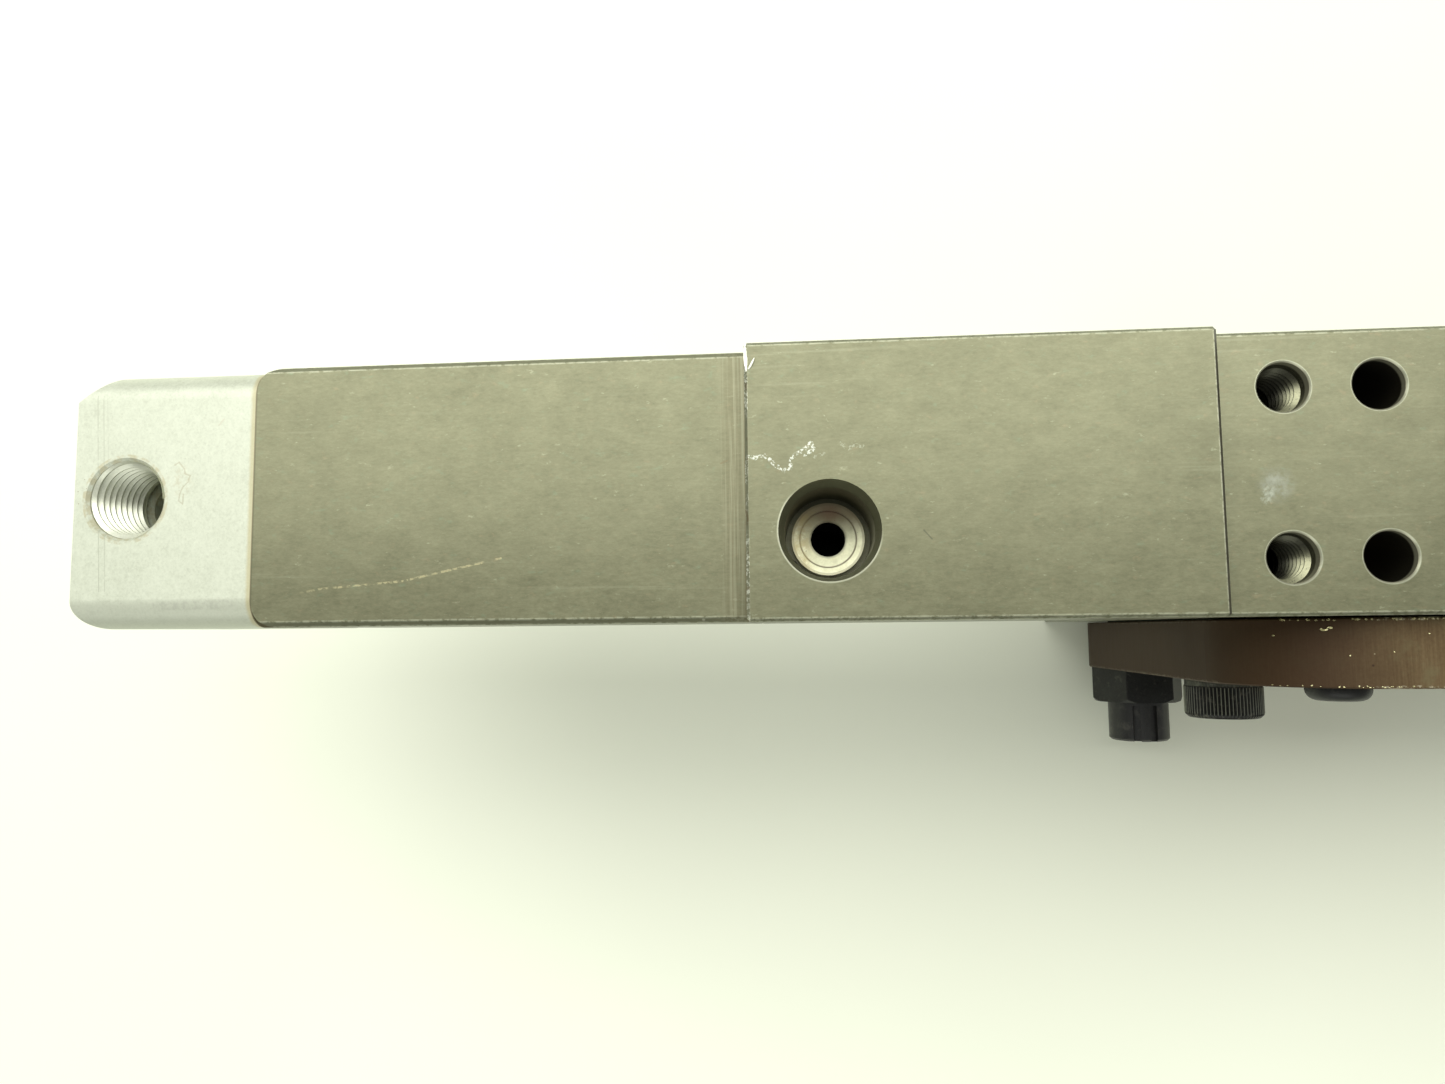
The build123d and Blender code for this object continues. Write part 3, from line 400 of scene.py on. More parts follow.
def housing_material():
    """The housing: pale rims at the tops of its holes, painted light on the plain walls below them, painted
    shade on the walls further down, and a bluish smear by the block."""
    s = anodised("housing_anodised", "housing", 0.5)
    rim_top = s.above(HOUSING_TOP - 0.15 * MM, 0.12)
    holes = s.math("MAXIMUM", s.around(TAPPED_HOLE, 0.0, HOLE_RIM_MM, mirrored=True),
                   s.around(DOWEL_HOLE, 0.0, HOLE_RIM_MM, mirrored=True))
    s.over(s.times(holes, rim_top), PALE_WEAR_AND_HIGHLIGHT, 0.7)
    # painted light on the unthreaded walls at the tops of the holes
    plain_wall = s.times(holes, s.above(HOUSING_TOP - PLAIN_WALL), s.below(HOUSING_TOP - 0.2 * MM))
    s.over(plain_wall, (0.33, 0.32, 0.23), 0.8)
    # painted shade on the hole walls further down
    in_holes = s.above(HOUSING_TOP - HOLE_PAINT_DEPTH)
    dowel_bore = s.around(DOWEL_HOLE, 0.0, HOLE_WALL_MM, mirrored=True)
    dowel_wall = s.times(dowel_bore, s.below(HOUSING_TOP - 1.6 * MM, 0.5), in_holes)
    s.over(dowel_wall, (0.020, 0.018, 0.012))
    tapped_bore = s.around(TAPPED_HOLE, 0.0, HOLE_WALL_MM, mirrored=True)
    tapped_wall = s.times(tapped_bore, s.below(HOUSING_TOP - PLAIN_WALL), in_holes)
    s.over(tapped_wall, (0.04, 0.038, 0.024), 0.85)
    top = s.above(HOUSING_TOP, 0.3)
    smear = s.near((-75.8 * MM, -2.0 * MM, HOUSING_TOP), 0.3, 3.4)
    haze = s.times(smear, s.patches(1.4, 0.30, 0.70, seed=19.0), top)
    s.over(haze, (0.42, 0.46, 0.43), 0.36)
    stroke = s.trace([(-77.3, -4.3), (-76.9, -2.9)], 1.3, 0.9, 1.0)
    dab = s.times(stroke, s.patches(0.6, 0.38, 0.6, seed=26.0), top)
    s.over(dab, (0.52, 0.58, 0.50), 0.28)
    return s.material


CAP_STAIN = [(-258.2, 5.8), (-257.4, 6.3), (-256.4, 5.1), (-256.2, 4.2), (-255.3, 3.9), (-255.6, 2.8),
             (-256.6, 1.9), (-257.1, 0.6), (-257.2, -0.5), (-256.5, -1.0), (-256.4, 0.6)]
# each scribed line on the cap, with its strength
SCRIBED = (([(-273.0, 18.5), (-271.2, -16)], 0.8), ([(-271.9, 18.5), (-270.1, -16)], 0.65),
           ([(-271.2, 18.5), (-269.9, -2)], 0.35))


def cap_material():
    """The end cap: bright machined aluminium, stained round its port and scribed across."""
    s = Shader("cap_bare_aluminium", metallic=0.2)
    grain = s.noise(0.4, 3, 0.7)
    fine = s.noise(1.1, 4, 0.7, seed=7.0)
    cloud = s.noise(7.0, 3, seed=1.0)
    s.tones(s.total((grain, 0.5), (fine, 0.3), (cloud, 0.2)),
            (0.34, (0.44, 0.465, 0.370)), (0.5, (0.54, 0.570, 0.465)), (0.66, (0.61, 0.64, 0.53)))
    s.over(s.patches(0.8, 0.58, 0.76, seed=4.0), (0.36, 0.37, 0.28), 0.35)
    s.over(s.specks(2.0, 0.075, seed=2.0), (0.30, 0.29, 0.24), 0.6)
    ring = s.around(PORT_CENTRE, 0.0, 7.9)
    s.over(s.times(ring, s.patches(1.2, 0.40, 0.62, seed=3.0)), (0.36, 0.30, 0.14), 0.5)
    s.over(s.trace(CAP_STAIN, 0.22, 0.22, 0.6), (0.30, 0.25, 0.14), 0.4)
    beside_port = s.near(PORT_CENTRE + Vector((10.2, 3.0, 0)) * MM, 1.5, 1.8)
    s.over(s.times(beside_port, s.patches(1.0, 0.45, 0.65)), (0.38, 0.33, 0.20), 0.35)
    sooty = s.near(PORT_CENTRE + Vector((-8.0, 1.5, 0)) * MM, 2.0, 4.0)
    s.over(s.times(sooty, s.specks(0.55, 0.24, seed=5.0)), (0.20, 0.14, 0.08), 0.8)
    lower_rub = s.trace([(-260.7, -18.7), (-247.5, -18.4)], 1.3, 0.5, 1.0)
    s.over(s.times(lower_rub, s.patches(1.0, 0.42, 0.6)), (0.36, 0.36, 0.31), 0.5)
    # painted shade where the cap's -Y edge rounds over
    s.over(s.band(s.axes[1], -17.0 * MM, -18.4 * MM), (0.40, 0.42, 0.34), 0.4)
    s.over(s.trace([(-249.4, 13.7), (-250.4, 12.6)], 0.3, 0.2), (0.45, 0.42, 0.32), 0.5)
    for line, strength in SCRIBED:
        broken_line = s.times(s.trace(line, 0.16), s.patches(3.0, 0.34, 0.5, seed=8.0))
        s.over(broken_line, (0.40, 0.42, 0.33), strength)
    ragged = s.total((s.axes[0], 1.0), (s.noise(1.5, 3, seed=9.0), 0.5 * MM))
    s.over(s.band(ragged, BARREL_LEFT - 0.9 * MM, BARREL_LEFT - 0.2 * MM), (0.42, 0.36, 0.17), 0.6)
    s.over(s.band(s.axes[0], BARREL_LEFT - 0.2 * MM, BARREL_LEFT - 0.05 * MM), GRIME_AND_SHADE, 0.9)
    s.uneven(grain, 0.30, 0.52)
    s.bump(grain, 0.014, 0.7)
    s.bump(s.math("MULTIPLY", s.specks(4.0, 0.09, seed=6.0), -1.0), 0.15, 0.8)
    return s.material


def brown_steel(name, node_name):
    """Heat-treated steel: dark brown, ground across its edges, with pale arrises that are partly worn metal
    and partly painted highlight.
    """
    s = Shader(name, metallic=0.05, specular=0.08)
    streak = s.noise(0.32, 3, 0.65, (1.0, 0.05, 1.0), 1.0)
    cloud = s.noise(16.0, 3, seed=2.0)
    speckle = s.noise(0.5, 2, seed=4.0)
    s.tones(s.total((streak, 0.35), (cloud, 0.45), (speckle, 0.2)),
            (0.33, (0.078, 0.050, 0.025)), (0.5, (0.118, 0.082, 0.042)), (0.67, (0.158, 0.117, 0.064)))
    s.over(s.patches(4.0, 0.5, 0.72, seed=5.0), (0.130, 0.115, 0.060), 0.5)
    # pale arrises: worn metal and painted highlight
    pale_arris = s.edge_line(s.edge_distance(node_name), 0.3, 0.4, 6.0)
    s.over(s.times(pale_arris, s.patches(0.8, 0.45, 0.58, seed=7.0)), (0.46, 0.42, 0.30), 0.8)
    s.over(s.specks(3.6, 0.05, seed=8.0), (0.44, 0.38, 0.24), 0.8)
    s.over(s.specks(5.0, 0.06, seed=9.0), (0.03, 0.02, 0.015), 0.8)
    s.uneven(streak, 0.40, 0.62)
    s.bump(streak, 0.012, 0.5)
    return s


def plate_material():
    """The tooling plate: painted shade where its rounded upper left corner turns down."""
    s = brown_steel("plate_brown_steel", "carriage_plate")
    # painted shade on the rounded corner
    corner = s.band(s.axes[0], low("carriage_plate").x + 27 * MM, low("carriage_plate").x + 9 * MM)
    s.over(corner, (0.034, 0.018, 0.010), 0.85)
    return s.material


def metal(name, dark, light, roughness, metallic, grain_mm=0.4, stretch=(1, 1, 1), bump_mm=0.012,
          dusty=0.0):
    """A plain metal finish between two tones, with grain, cloudiness and uneven roughness."""
    s = Shader(name, metallic=metallic)
    grain = s.noise(grain_mm, 3, 0.65, stretch)
    s.tones(s.total((grain, 0.6), (s.noise(6.0, 3, seed=3.0), 0.4)), (0.32, dark), (0.68, light))
    if dusty:
        s.over(s.patches(1.2, 0.52, 0.78, seed=5.0), DUST, dusty)
    s.uneven(grain, roughness - 0.08, roughness + 0.1)
    s.bump(grain, bump_mm, 0.6)
    return s.material


def plastic(name, dark, light, roughness):
    """Moulded plastic or rubber: nearly even, with a faint moulded texture and dust."""
    s = Shader(name)
    grain = s.noise(0.25, 2)
    s.tones(grain, (0.3, dark), (0.7, light))
    s.over(s.patches(2.5, 0.5, 0.8, seed=5.0), DUST, 0.10)
    s.uneven(grain, roughness - 0.07, roughness + 0.08)
    s.bump(grain, 0.02, 0.5)
    return s.material


def bush_material():
    """Turned steel: rings round the bush's axis, patchy gold on the -X side, and painted shade in brown on
    the +Y side, on two thin rings and down its bore.
    """
    s = Shader("bush_turned_steel", metallic=0.4)
    radius = s.vector("DISTANCE", s.plan, (BUSH_CENTRE.x, BUSH_CENTRE.y, 0))
    rings = s.math("SINE", s.math("MULTIPLY", radius, TAU / (0.24 * MM)))
    cloud = s.noise(1.4, 4, 0.7)
    s.tones(cloud, (0.34, (0.60, 0.60, 0.40)), (0.66, (0.80, 0.80, 0.57)))
    # painted shade on the +Y side, which faces away from the light
    back = s.band(s.axes[1], BUSH_CENTRE.y + 0.5 * MM, BUSH_CENTRE.y + 4.5 * MM)
    s.over(back, (0.24, 0.18, 0.10), 0.85)
    # painted shade at the dish's step
    s.over(s.around(BUSH_CENTRE, 4.75, 5.02), (0.14, 0.11, 0.06), 0.85)
    red = s.near(BUSH_CENTRE + Vector((0.5, 5.2, 0)) * MM, 1.0, 2.6)
    s.over(s.times(red, back), (0.20, 0.06, 0.04), 0.55)
    side = s.band(s.axes[0], BUSH_CENTRE.x - 1.5 * MM, BUSH_CENTRE.x - 4.5 * MM)
    s.over(s.times(side, s.patches(1.6, 0.30, 0.6, seed=2.0)), (0.42, 0.34, 0.15), 0.7)
    # painted shade at the bush's outer edge
    s.over(s.around(BUSH_CENTRE, 5.9, 6.3), (0.20, 0.17, 0.10), 0.5)
    s.over(s.patches(0.5, 0.66, 0.72, seed=4.0), (0.10, 0.09, 0.06), 0.6)
    # painted shade down the bore
    low_down = s.times(s.around(BUSH_CENTRE, 0.0, 3.35), s.below(high("port_bush").z - 1.1 * MM, 0.3))
    s.over(low_down, SHADE_BLACK)
    s.uneven(cloud, 0.24, 0.40)
    s.bump(rings, 0.010, 0.5)
    return s.material


def rod_material():
    """Hard chrome, smudged with brown oil film where it was last wiped."""
    s = Shader("hard_chrome", metallic=1.0)
    grain = s.noise(0.4, 3, 0.65, (0.1, 1, 1))
    s.tones(grain, (0.3, (0.58, 0.58, 0.57)), (0.7, (0.74, 0.74, 0.73)))
    s.over(s.patches(5.0, 0.52, 0.75, (0.5, 1, 1), 3.0), (0.45, 0.40, 0.28), 0.2)
    s.uneven(grain, 0.10, 0.22)
    return s.material


def assign(material, *names):
    for name in names:
        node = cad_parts[name]
        node.data.materials.clear()
        node.data.materials.append(material)


def crisp(thing, degrees=35):
    """Smooth shading on round walls, with flat faces kept crisp."""
    thing.data.shade_smooth()
    modifier = thing.modifiers.new("crisp edges", "EDGE_SPLIT")
    modifier.split_angle = math.radians(degrees)


def knurled_steel():
    """Black oxide: the knurl is painted near black, partly as shade in its grooves, with bright crests that
    are partly rubbed metal and partly painted highlight.
    """
    s = Shader("knurled_black_oxide", metallic=0.5)
    profile = s.vector("MULTIPLY", s.place, (1, 0, 1))
    radii = [s.vector("DISTANCE", profile, (x, 0, PLATE_SCREW_Z)) for x in PLATE_SCREW_X]
    radius = s.math("MINIMUM", *radii)
    grain = s.noise(0.4, 3, 0.65)
    s.tones(grain, (0.32, (0.050, 0.052, 0.042)), (0.68, (0.115, 0.118, 0.094)))
    # near black over the knurl, partly painted shade in its grooves
    knurl = s.band(s.axes[1], PLATE_LOW.y - 2.9 * MM, PLATE_LOW.y - 3.2 * MM)
    s.over(knurl, (0.012, 0.012, 0.010))
    # bright crests: rubbed metal and painted highlight
    s.over(s.times(knurl, s.band(radius, 7.84 * MM, 7.96 * MM)), (0.26, 0.27, 0.22), 0.85)
    s.over(s.patches(1.2, 0.52, 0.78, seed=5.0), DUST, 0.25)
    s.uneven(grain, 0.24, 0.42)
    return s.material


DEEP_BLACK = metal("deep_black_oxide", (0.004, 0.004, 0.004), (0.012, 0.012, 0.011), 0.46, 0.2, dusty=0.04)
BLACK_OXIDE = metal("black_oxide", (0.010, 0.010, 0.010), (0.030, 0.031, 0.028), 0.40, 0.4, dusty=0.08)
BRIGHT_STEEL = ((0.42, 0.42, 0.40), (0.66, 0.66, 0.62))    # its dark tone and its light one

assign(cap_material(), "end_cap")
assign(barrel_material(), "barrel")
assign(head_material(), "head_block")
assign(housing_material(), "housing")
assign(plate_material(), "carriage_plate")
assign(brown_steel("lug_brown_steel", "drive_lug").material, "drive_lug")
assign(bush_material(), "port_bush")
assign(rod_material(), "piston_rod")
assign(BLACK_OXIDE, "cap_bolts", "head_screws", "rail_screws", "plate_screws", "plug_stud", "plug_flange",
       "rod_jam_nut", "piston_nut", "stop_screw", "stop_nut")
assign(DEEP_BLACK, "lug_screw")
assign(metal("ground_steel", *BRIGHT_STEEL, 0.30, 0.9, stretch=(0.06, 1, 1)),
       "rail", "saddle", "plate_dowels", "ball_rows")
assign(metal("piston_aluminium", (0.55, 0.55, 0.53), (0.72, 0.72, 0.70), 0.33, 0.85), "piston")
assign(metal("sintered_bronze", (0.30, 0.18, 0.07), (0.48, 0.31, 0.14), 0.4, 0.8), "rod_bush")
assign(metal("ferrite", (0.03, 0.03, 0.03), (0.06, 0.06, 0.06), 0.6, 0.2), "magnet_ring")
assign(plastic("nitrile_rubber", (0.012, 0.012, 0.012), (0.028, 0.028, 0.026), 0.62),
       "cap_o_ring", "head_o_ring", "rod_seal", "rod_wiper", "rear_bumpers", "front_bumper",
       "saddle_seal_rear", "saddle_seal_front", "piston_seal_rear", "piston_seal_front")
assign(plastic("black_plastic", (0.010, 0.010, 0.010), (0.024, 0.024, 0.023), 0.34),
       "plug_neck", "rail_hole_caps", "piston_wear_band")
assign(plastic("green_plastic", (0.010, 0.035, 0.018), (0.018, 0.055, 0.028), 0.45),
       "saddle_cap_rear", "saddle_cap_front")

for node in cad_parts.values():
    crisp(node)


# ---- detailed pieces ----
def mesh_piece(name, vertices, faces, material, body, slot, degrees=30):
    mesh = bpy.data.meshes.new(name)
    mesh.from_pydata([tuple(v) for v in vertices], [], faces)
    mesh.update()
    mesh.materials.append(material)
    piece = bpy.data.objects.new(name, mesh)
    bpy.context.scene.collection.objects.link(piece)
    crisp(piece, degrees)
    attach(piece, body)
    return piece


THREAD_STEPS = 48               # steps in one turn of a thread
THREAD_RUN_OUT = 0.6            # share of a turn over which a ridge fades in and out
FLANK_SHARE = 0.44              # half a ridge's width at its root, as a share of the pitch
CREST_SHARE = 0.18              # width of its crest, as a share of its root


def inner_thread(name, centre, depth, pitch, outer, inner, material, slot, taper=0.0):
    """The inward ridge of a female thread in a hole that opens upwards at centre."""
    count = int((depth - pitch) / pitch * THREAD_STEPS)
    run_out = THREAD_STEPS * THREAD_RUN_OUT
    flank = pitch * FLANK_SHARE
    half_crest = flank * CREST_SHARE
    into_wall = 0.02 * MM
    vertices = []
    for index in range(count + 1):
        turn = index / THREAD_STEPS
        fade = min(1.0, index / run_out, (count - index) / run_out)
        drop = pitch * (0.5 + turn)
        wall = outer - taper * drop + into_wall
        crest = wall - (outer - inner) * max(fade, 0.02)
        direction = Vector((math.cos(TAU * turn), math.sin(TAU * turn), 0))
        for radius, rise in ((wall, flank), (crest, half_crest), (crest, -half_crest), (wall, -flank)):
            vertices.append(centre + direction * radius + Vector((0, 0, rise - drop)))
    faces = []
    for index in range(count):
        for side in range(4):
            a = index * 4 + side
            b = index * 4 + (side + 1) % 4
            faces.append((a, b, b + 4, a + 4))
    faces.append((3, 2, 1, 0))
    faces.append(tuple(range(count * 4, count * 4 + 4)))
    return mesh_piece(name, vertices, faces, material, "frame", slot, 25)


def ring_stack(place, rings, segments):
    """A closed solid along a placed +Z axis. rings are (height, radius at an angle) pairs in
    millimetres, in order along the solid's outline."""
    vertices = []
    for height, radius_at in rings:
        for step in range(segments):
            angle = TAU * step / segments
            radius = radius_at(step, angle)
            point = Vector((radius * math.cos(angle), radius * math.sin(angle), height))
            vertices.append(place @ (point * MM))
    faces = [tuple(range(segments))[::-1]]
    for ring in range(len(rings) - 1):
        for step in range(segments):
            a = ring * segments + step
            b = ring * segments + (step + 1) % segments
            faces.append((a, b, b + segments, a + segments))
    last = (len(rings) - 1) * segments
    faces.append(tuple(range(last, last + segments)))
    return vertices, faces


def round_ring(height, radius):
    return height, lambda step, angle: radius


def hexagon_ring(height, half_flats):
    sector = TAU / 6
    return height, lambda step, angle: half_flats / math.cos(angle % sector - sector / 2)


def knurled_ring(height, radius, depth):
    """A ring of grooves, each over four steps of the outline."""
    groove = (0.0, 0.62, 1.0, 0.62)
    return height, lambda step, angle: radius - depth * groove[step % 4]


def threaded_ring(height, outer, pitch, limit):
    """A male thread's outline at one height, no larger than limit."""
    depth = pitch * 0.6

    def radius_at(step, angle):
        phase = (height / pitch - angle / TAU) % 1.0
        ramp = min(1.0, max(0.0, (abs(phase * 2 - 1) - 0.1) / 0.75))
        return min(limit, outer - depth * (1 - ramp))

    return height, radius_at


def joined_stacks(stacks):
    vertices = []
    faces = []
    for more_vertices, more_faces in stacks:
        start = len(vertices)
        vertices += more_vertices
        faces += [tuple(index + start for index in face) for face in more_faces]
    return vertices, faces


# The plate screw's outline in millimetres, from the tip of its shank to the floor of its socket.
# Heights are measured from the plate's face.
SHANK_RINGS = [round_ring(-21, 4.0), round_ring(-20, 5.0), round_ring(0, 5.0)]
COLLAR_RINGS = [round_ring(0, 7.5), round_ring(0.3, 7.75), round_ring(2.9, 7.75)]
KNURL_RINGS = [knurled_ring(3.0, 7.8, 0.08), knurled_ring(3.4, 8.0, 0.34), knurled_ring(8.9, 8.0, 0.34),
               knurled_ring(9.4, 7.8, 0.14)]
SOCKET_RINGS = [round_ring(10, 7.2), round_ring(10, 4.75), hexagon_ring(9.7, 4.0), hexagon_ring(4.6, 4.0)]
KNURL_SEGMENTS = 264            # four to a groove
SCREW_CRISP = 40                # degrees


def plate_screws():
    """Two M10 socket cap screws with straight-knurled heads."""
    rings = SHANK_RINGS + COLLAR_RINGS + KNURL_RINGS + SOCKET_RINGS
    stacks = []
    for x in PLATE_SCREW_X:
        place = Matrix.Translation((x, PLATE_LOW.y, PLATE_SCREW_Z)) @ Matrix.Rotation(TAU / 4, 4, "X")
        stacks.append(ring_stack(place, rings, KNURL_SEGMENTS))
    piece = mesh_piece("plate_screws_knurled", *joined_stacks(stacks), knurled_steel(), "carriage",
                       "black_steel", SCREW_CRISP)
    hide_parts("plate_screws")


def stop_screw():
    """The M10 stop screw with a cut thread and a socket in its outer end."""
    corner_low = low("stop_screw")
    length = (high("stop_screw").x - corner_low.x) / MM
    pitch = 1.5
    thread_radius = 4.98
    socket_half_flats = 2.5
    rings_per_turn = 8
    rings = [round_ring(0, 3.9)]
    count = int(length / pitch * rings_per_turn)
    for index in range(count + 1):
        height = length * index / count
        end_taper = 4.1 + min(height, length - height) * 1.2
        rings.append(threaded_ring(height, thread_radius, pitch, end_taper))
    rings += [round_ring(length, 3.3), hexagon_ring(length - 0.3, socket_half_flats),
              hexagon_ring(length - 5, socket_half_flats)]
    axis = middle("stop_screw")
    place = Matrix.Translation((corner_low.x, axis.y, axis.z)) @ Matrix.Rotation(TAU / 4, 4, "Y")
    outline = ring_stack(place, rings, THREAD_STEPS)
    piece = mesh_piece("stop_screw_threaded", *outline, BLACK_OXIDE, "frame", "black_steel", SCREW_CRISP)
    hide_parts("stop_screw")


def ribbon(points, widths, thickness):
    """A flat strip along points, tapering with widths; everything in metres."""
    vertices = []
    for index, point in enumerate(points):
        before = points[max(index - 1, 0)]
        after = points[min(index + 1, len(points) - 1)]
        tangent = (after - before).normalized()
        across = tangent.cross(Vector((0.13, 0.21, 0.97))).normalized()
        normal = across.cross(tangent)
        for side, rise in ((1, 1), (-1, 1), (-1, -1), (1, -1)):
            vertices.append(point + across * side * widths[index] / 2 + normal * rise * thickness / 2)
    faces = []
    for index in range(len(points) - 1):
        for side in range(4):
            a = index * 4 + side
            b = index * 4 + (side + 1) % 4
            faces.append((b, a, a + 4, b + 4))
    faces.append((0, 1, 2, 3))
    last = (len(points) - 1) * 4
    faces.append((last + 3, last + 2, last + 1, last))
    return vertices, faces


CHIP_STEPS = 8                  # steps along a curled chip
CHIP_TURNS = 0.8
CHIP_THICKNESS = 0.05 * MM
# chips seen one by one: x, y and size
SINGLE_CHIPS = ((-66.9, -24.6, 1.0), (-66.1, -24.4, 0.7), (-72.6, -25.6, 0.35), (-63.8, -28.8, 0.25),
                (-57.9, -28.2, 0.25), (-52.6, -25.4, 0.3))


def curl(x, y, size_mm):
    """A curled chip lying on the plate's top edge."""
    heading = rng.uniform(0, TAU)
    lean = rng.uniform(0.3, 0.8)
    points = []
    for step in range(CHIP_STEPS + 1):
        share = step / CHIP_STEPS
        angle = heading + share * CHIP_TURNS * TAU
        radius = size_mm * 0.5 * (0.6 + 0.4 * share)
        spot = Vector((x + radius * math.cos(angle), y + radius * math.sin(angle) * lean, 0))
        points.append(Vector((spot.x, spot.y, plate_surface(spot.x) + 0.07 + size_mm * 0.18 * share)) * MM)
    widths = [size_mm * 0.28 * MM * (0.4 + 0.6 * math.sin(math.pi * (step + 0.6) / (CHIP_STEPS + 1.2)))
              for step in range(CHIP_STEPS + 1)]
    return ribbon(points, widths, CHIP_THICKNESS)


def plate_surface(x):
    """Height of the plate's upper edge in millimetres at x, round its two corners."""
    radius = PLATE_CORNER_MM
    past = max(PLATE_LOW.x / MM + radius - x, x - PLATE_HIGH.x / MM + radius, 0.0)
    return PLATE_HIGH.z / MM - radius + math.sqrt(max(radius ** 2 - past ** 2, 0.0))


def swarf():
    """Chips along the plate's upper edges, mostly beside the housing."""
    inner_y = PLATE_HIGH.y / MM - 0.32
    outer_y = PLATE_LOW.y / MM + 0.35
    smallest = 0.12
    scatter = 0.12
    chips = [curl(*chip) for chip in SINGLE_CHIPS]
    for count, start, end, y, largest in ((46, -72, -50, inner_y, 0.46), (32, -50, 24, inner_y, 0.38),
                                          (22, -73, -52, outer_y, 0.30), (18, -52, 24, outer_y, 0.25)):
        for index in range(count):
            chip_x = rng.uniform(start, end)
            chip_y = y + rng.uniform(-scatter, scatter)
            chips.append(curl(chip_x, chip_y, rng.uniform(smallest, largest)))
    mesh_piece("swarf_on_plate", *joined_stacks(chips), SWARF_METAL, "carriage", "bare_aluminium")


def corner_burrs():
    """A raised flake and a rolled burr at the head block's back left corner."""
    edge = HEAD_LEFT / MM
    top = HEAD_TOP / MM
    flake = [Vector(p) * MM for p in ((edge + 0.75, 18.05, top + 0.04), (edge + 1.05, 18.5, top + 0.16),
                                      (edge + 1.4, 19.1, top + 0.3), (edge + 1.75, 19.8, top + 0.34))]
    burr = [Vector(p) * MM for p in ((edge + 0.3, 22.2, top - 0.3), (edge + 0.28, 21.2, top - 0.12),
                                     (edge + 0.3, 20, top - 0.02), (edge + 0.34, 18.8, top - 0.02),
                                     (edge + 0.4, 17.7, top - 0.1))]
    strips = [ribbon(flake, [0.18 * MM, 0.34 * MM, 0.32 * MM, 0.1 * MM], 0.06 * MM),
              ribbon(burr, [0.3 * MM, 0.5 * MM, 0.6 * MM, 0.5 * MM, 0.1 * MM], 0.12 * MM)]
    mesh_piece("head_corner_burrs", *joined_stacks(strips), BARE_METAL, "frame", "bare_aluminium")


def m8_thread_material():
    """Cut aluminium in the tapped holes, with painted shade deep down and on each hole's +Y side, away from
    the plate.
    """
    s = Shader("m8_thread_metal", metallic=0.7)
    grain = s.noise(0.4, 3, 0.65)
    s.tones(grain, (0.32, (0.20, 0.20, 0.13)), (0.68, (0.31, 0.31, 0.20)))
    row = TAPPED_HOLE.y
    # painted shade on each hole's +Y side
    near_row = s.times(s.band(s.axes[1], -row - 1 * MM, -row + 2.5 * MM),
                       s.band(s.axes[1], 1 * MM, -1 * MM))
    far_row = s.band(s.axes[1], row - 1 * MM, row + 2.5 * MM)
    s.over(s.math("MAXIMUM", near_row, far_row), SHADE_BLACK, 0.8)
    # painted shade deeper down
    s.over(s.band(s.axes[2], HOUSING_TOP - 4 * MM, HOUSING_TOP - 11 * MM), SHADE_BLACK, 0.85)
    s.uneven(grain, 0.22, 0.36)
    return s.material


BARE_METAL = metal("bare_burr_metal", (0.80, 0.82, 0.72), (0.92, 0.93, 0.86), 0.35, 0.3)
SWARF_METAL = metal("swarf_metal", (0.50, 0.44, 0.20), (0.82, 0.78, 0.46), 0.3, 0.5)
PORT_THREAD_METAL = metal("port_thread_metal", (0.62, 0.64, 0.52), (0.78, 0.80, 0.68), 0.30, 0.5,
                          bump_mm=0.003)
M8_THREAD_METAL = m8_thread_material()

# each thread's depth, pitch, outer radius and inner radius
PORT_THREAD = (15 * MM, 1.41 * MM, 6.85 * MM, 6.10 * MM)
M8_THREAD = (13.0 * MM, 1.25 * MM, 4.0 * MM, 3.22 * MM)
PIPE_TAPER = 1 / 32             # loss of radius with depth

inner_thread("cap_port_thread", PORT_CENTRE, *PORT_THREAD, PORT_THREAD_METAL, "bare_aluminium", PIPE_TAPER)
for column, x_sign in (("rear", -1), ("front", 1)):
    for row, y_sign in (("near", -1), ("far", 1)):
        start = Vector((x_sign * TAPPED_HOLE.x, y_sign * TAPPED_HOLE.y, HOUSING_TOP - PLAIN_WALL))
        inner_thread(f"m8_thread_{column}_{row}", start, *M8_THREAD, M8_THREAD_METAL, "grey_anodised")
plate_screws()
stop_screw()
swarf()
corner_burrs()


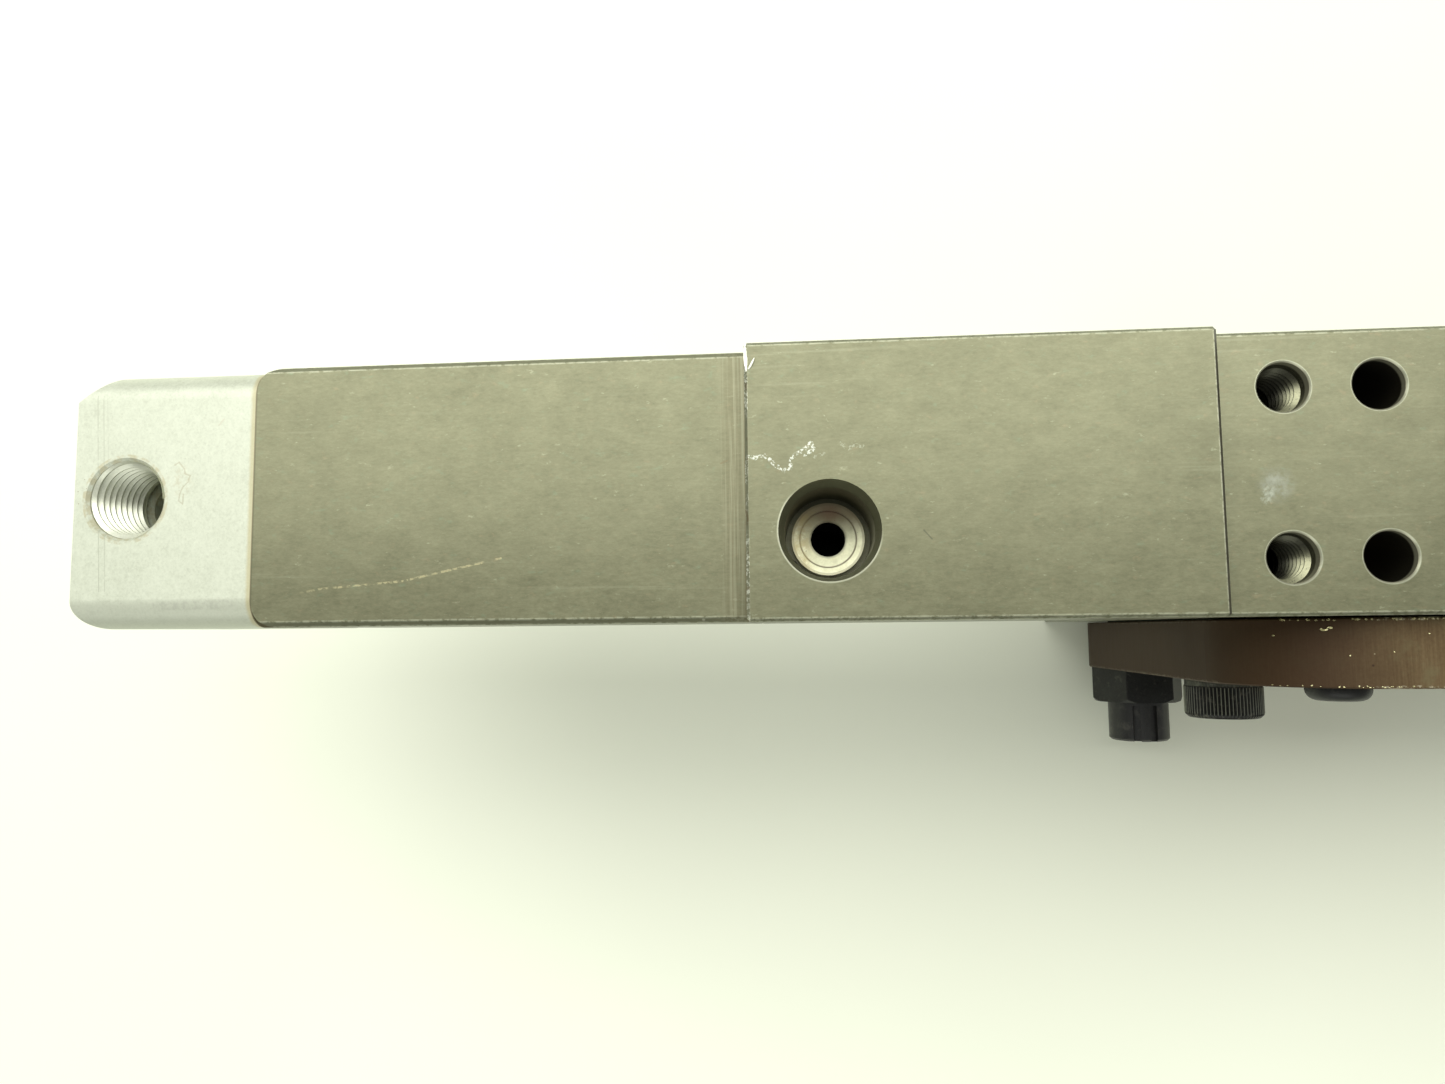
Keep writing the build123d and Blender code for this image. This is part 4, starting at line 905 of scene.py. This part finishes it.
# ---- surroundings ----
def floor():
    s = Shader("pale_floor", roughness=0.6, specular=0.25)
    s.tones(s.noise(160.0, 2), (0.3, (0.89, 0.92, 0.78)), (0.7, (0.93, 0.96, 0.82)))
    half = 6.0
    corners = [(-half, -half, 0), (half, -half, 0), (half, half, 0), (-half, half, 0)]
    mesh = bpy.data.meshes.new("floor")
    mesh.from_pydata(corners, [], [(0, 1, 2, 3)])
    mesh.materials.append(s.material)
    plane = bpy.data.objects.new("floor", mesh)
    bpy.context.scene.collection.objects.link(plane)


def aimed(place, target, up=(0, 1, 0)):
    """A matrix at place whose -Z looks at target, with +Y as near to up as it can be."""
    back = (Vector(place) - Vector(target)).normalized()
    right = Vector(up).cross(back).normalized()
    upward = back.cross(right)
    turned = Matrix((right, upward, back)).transposed().to_4x4()
    return Matrix.Translation(place) @ turned


def softbox(name, place, target, size, watts, colour=(1, 1, 1)):
    light = bpy.data.lights.new(name, "AREA")
    light.shape = "RECTANGLE"
    light.size, light.size_y = size
    light.energy = watts
    light.color = colour
    lamp = bpy.data.objects.new(name, light)
    bpy.context.scene.collection.objects.link(lamp)
    lamp.matrix_world = aimed(place, target)


EYE = Vector((HEAD_LEFT + 9.93 * MM, -23.75 * MM, HEAD_TOP + 155.32 * MM))
EYE_TARGET = Vector((HEAD_LEFT - 3.71 * MM, -9.8 * MM, HEAD_TOP))
EYE_ROLL = -0.60                # degrees


def camera():
    data = bpy.data.cameras.new("camera")
    data.lens = 24.54
    data.sensor_width = 36.0
    data.clip_start = 0.01
    holder = bpy.data.objects.new("camera", data)
    bpy.context.scene.collection.objects.link(holder)
    roll = Matrix.Rotation(math.radians(EYE_ROLL), 4, "Z")
    holder.matrix_world = aimed(EYE, EYE_TARGET) @ roll
    bpy.context.scene.camera = holder


def sky():
    world = bpy.data.worlds.new("studio")
    world.use_nodes = True
    background = world.node_tree.nodes["Background"]
    background.inputs["Color"].default_value = (0.97, 0.99, 0.92, 1)
    background.inputs["Strength"].default_value = 0.36
    bpy.context.scene.world = world


floor()
camera()
sky()
softbox("key_light", (-0.18, 0.36, 0.74), (-0.12, 0.04, 0.07), (1.4, 0.62), 9.6, (1.0, 1.0, 0.95))
softbox("fill_light", (-0.25, -0.85, 0.65), (-0.1, -0.15, 0.0), (1.2, 0.5), 3.2, (0.98, 1.0, 0.94))
bpy.context.scene.view_settings.view_transform = "Standard"
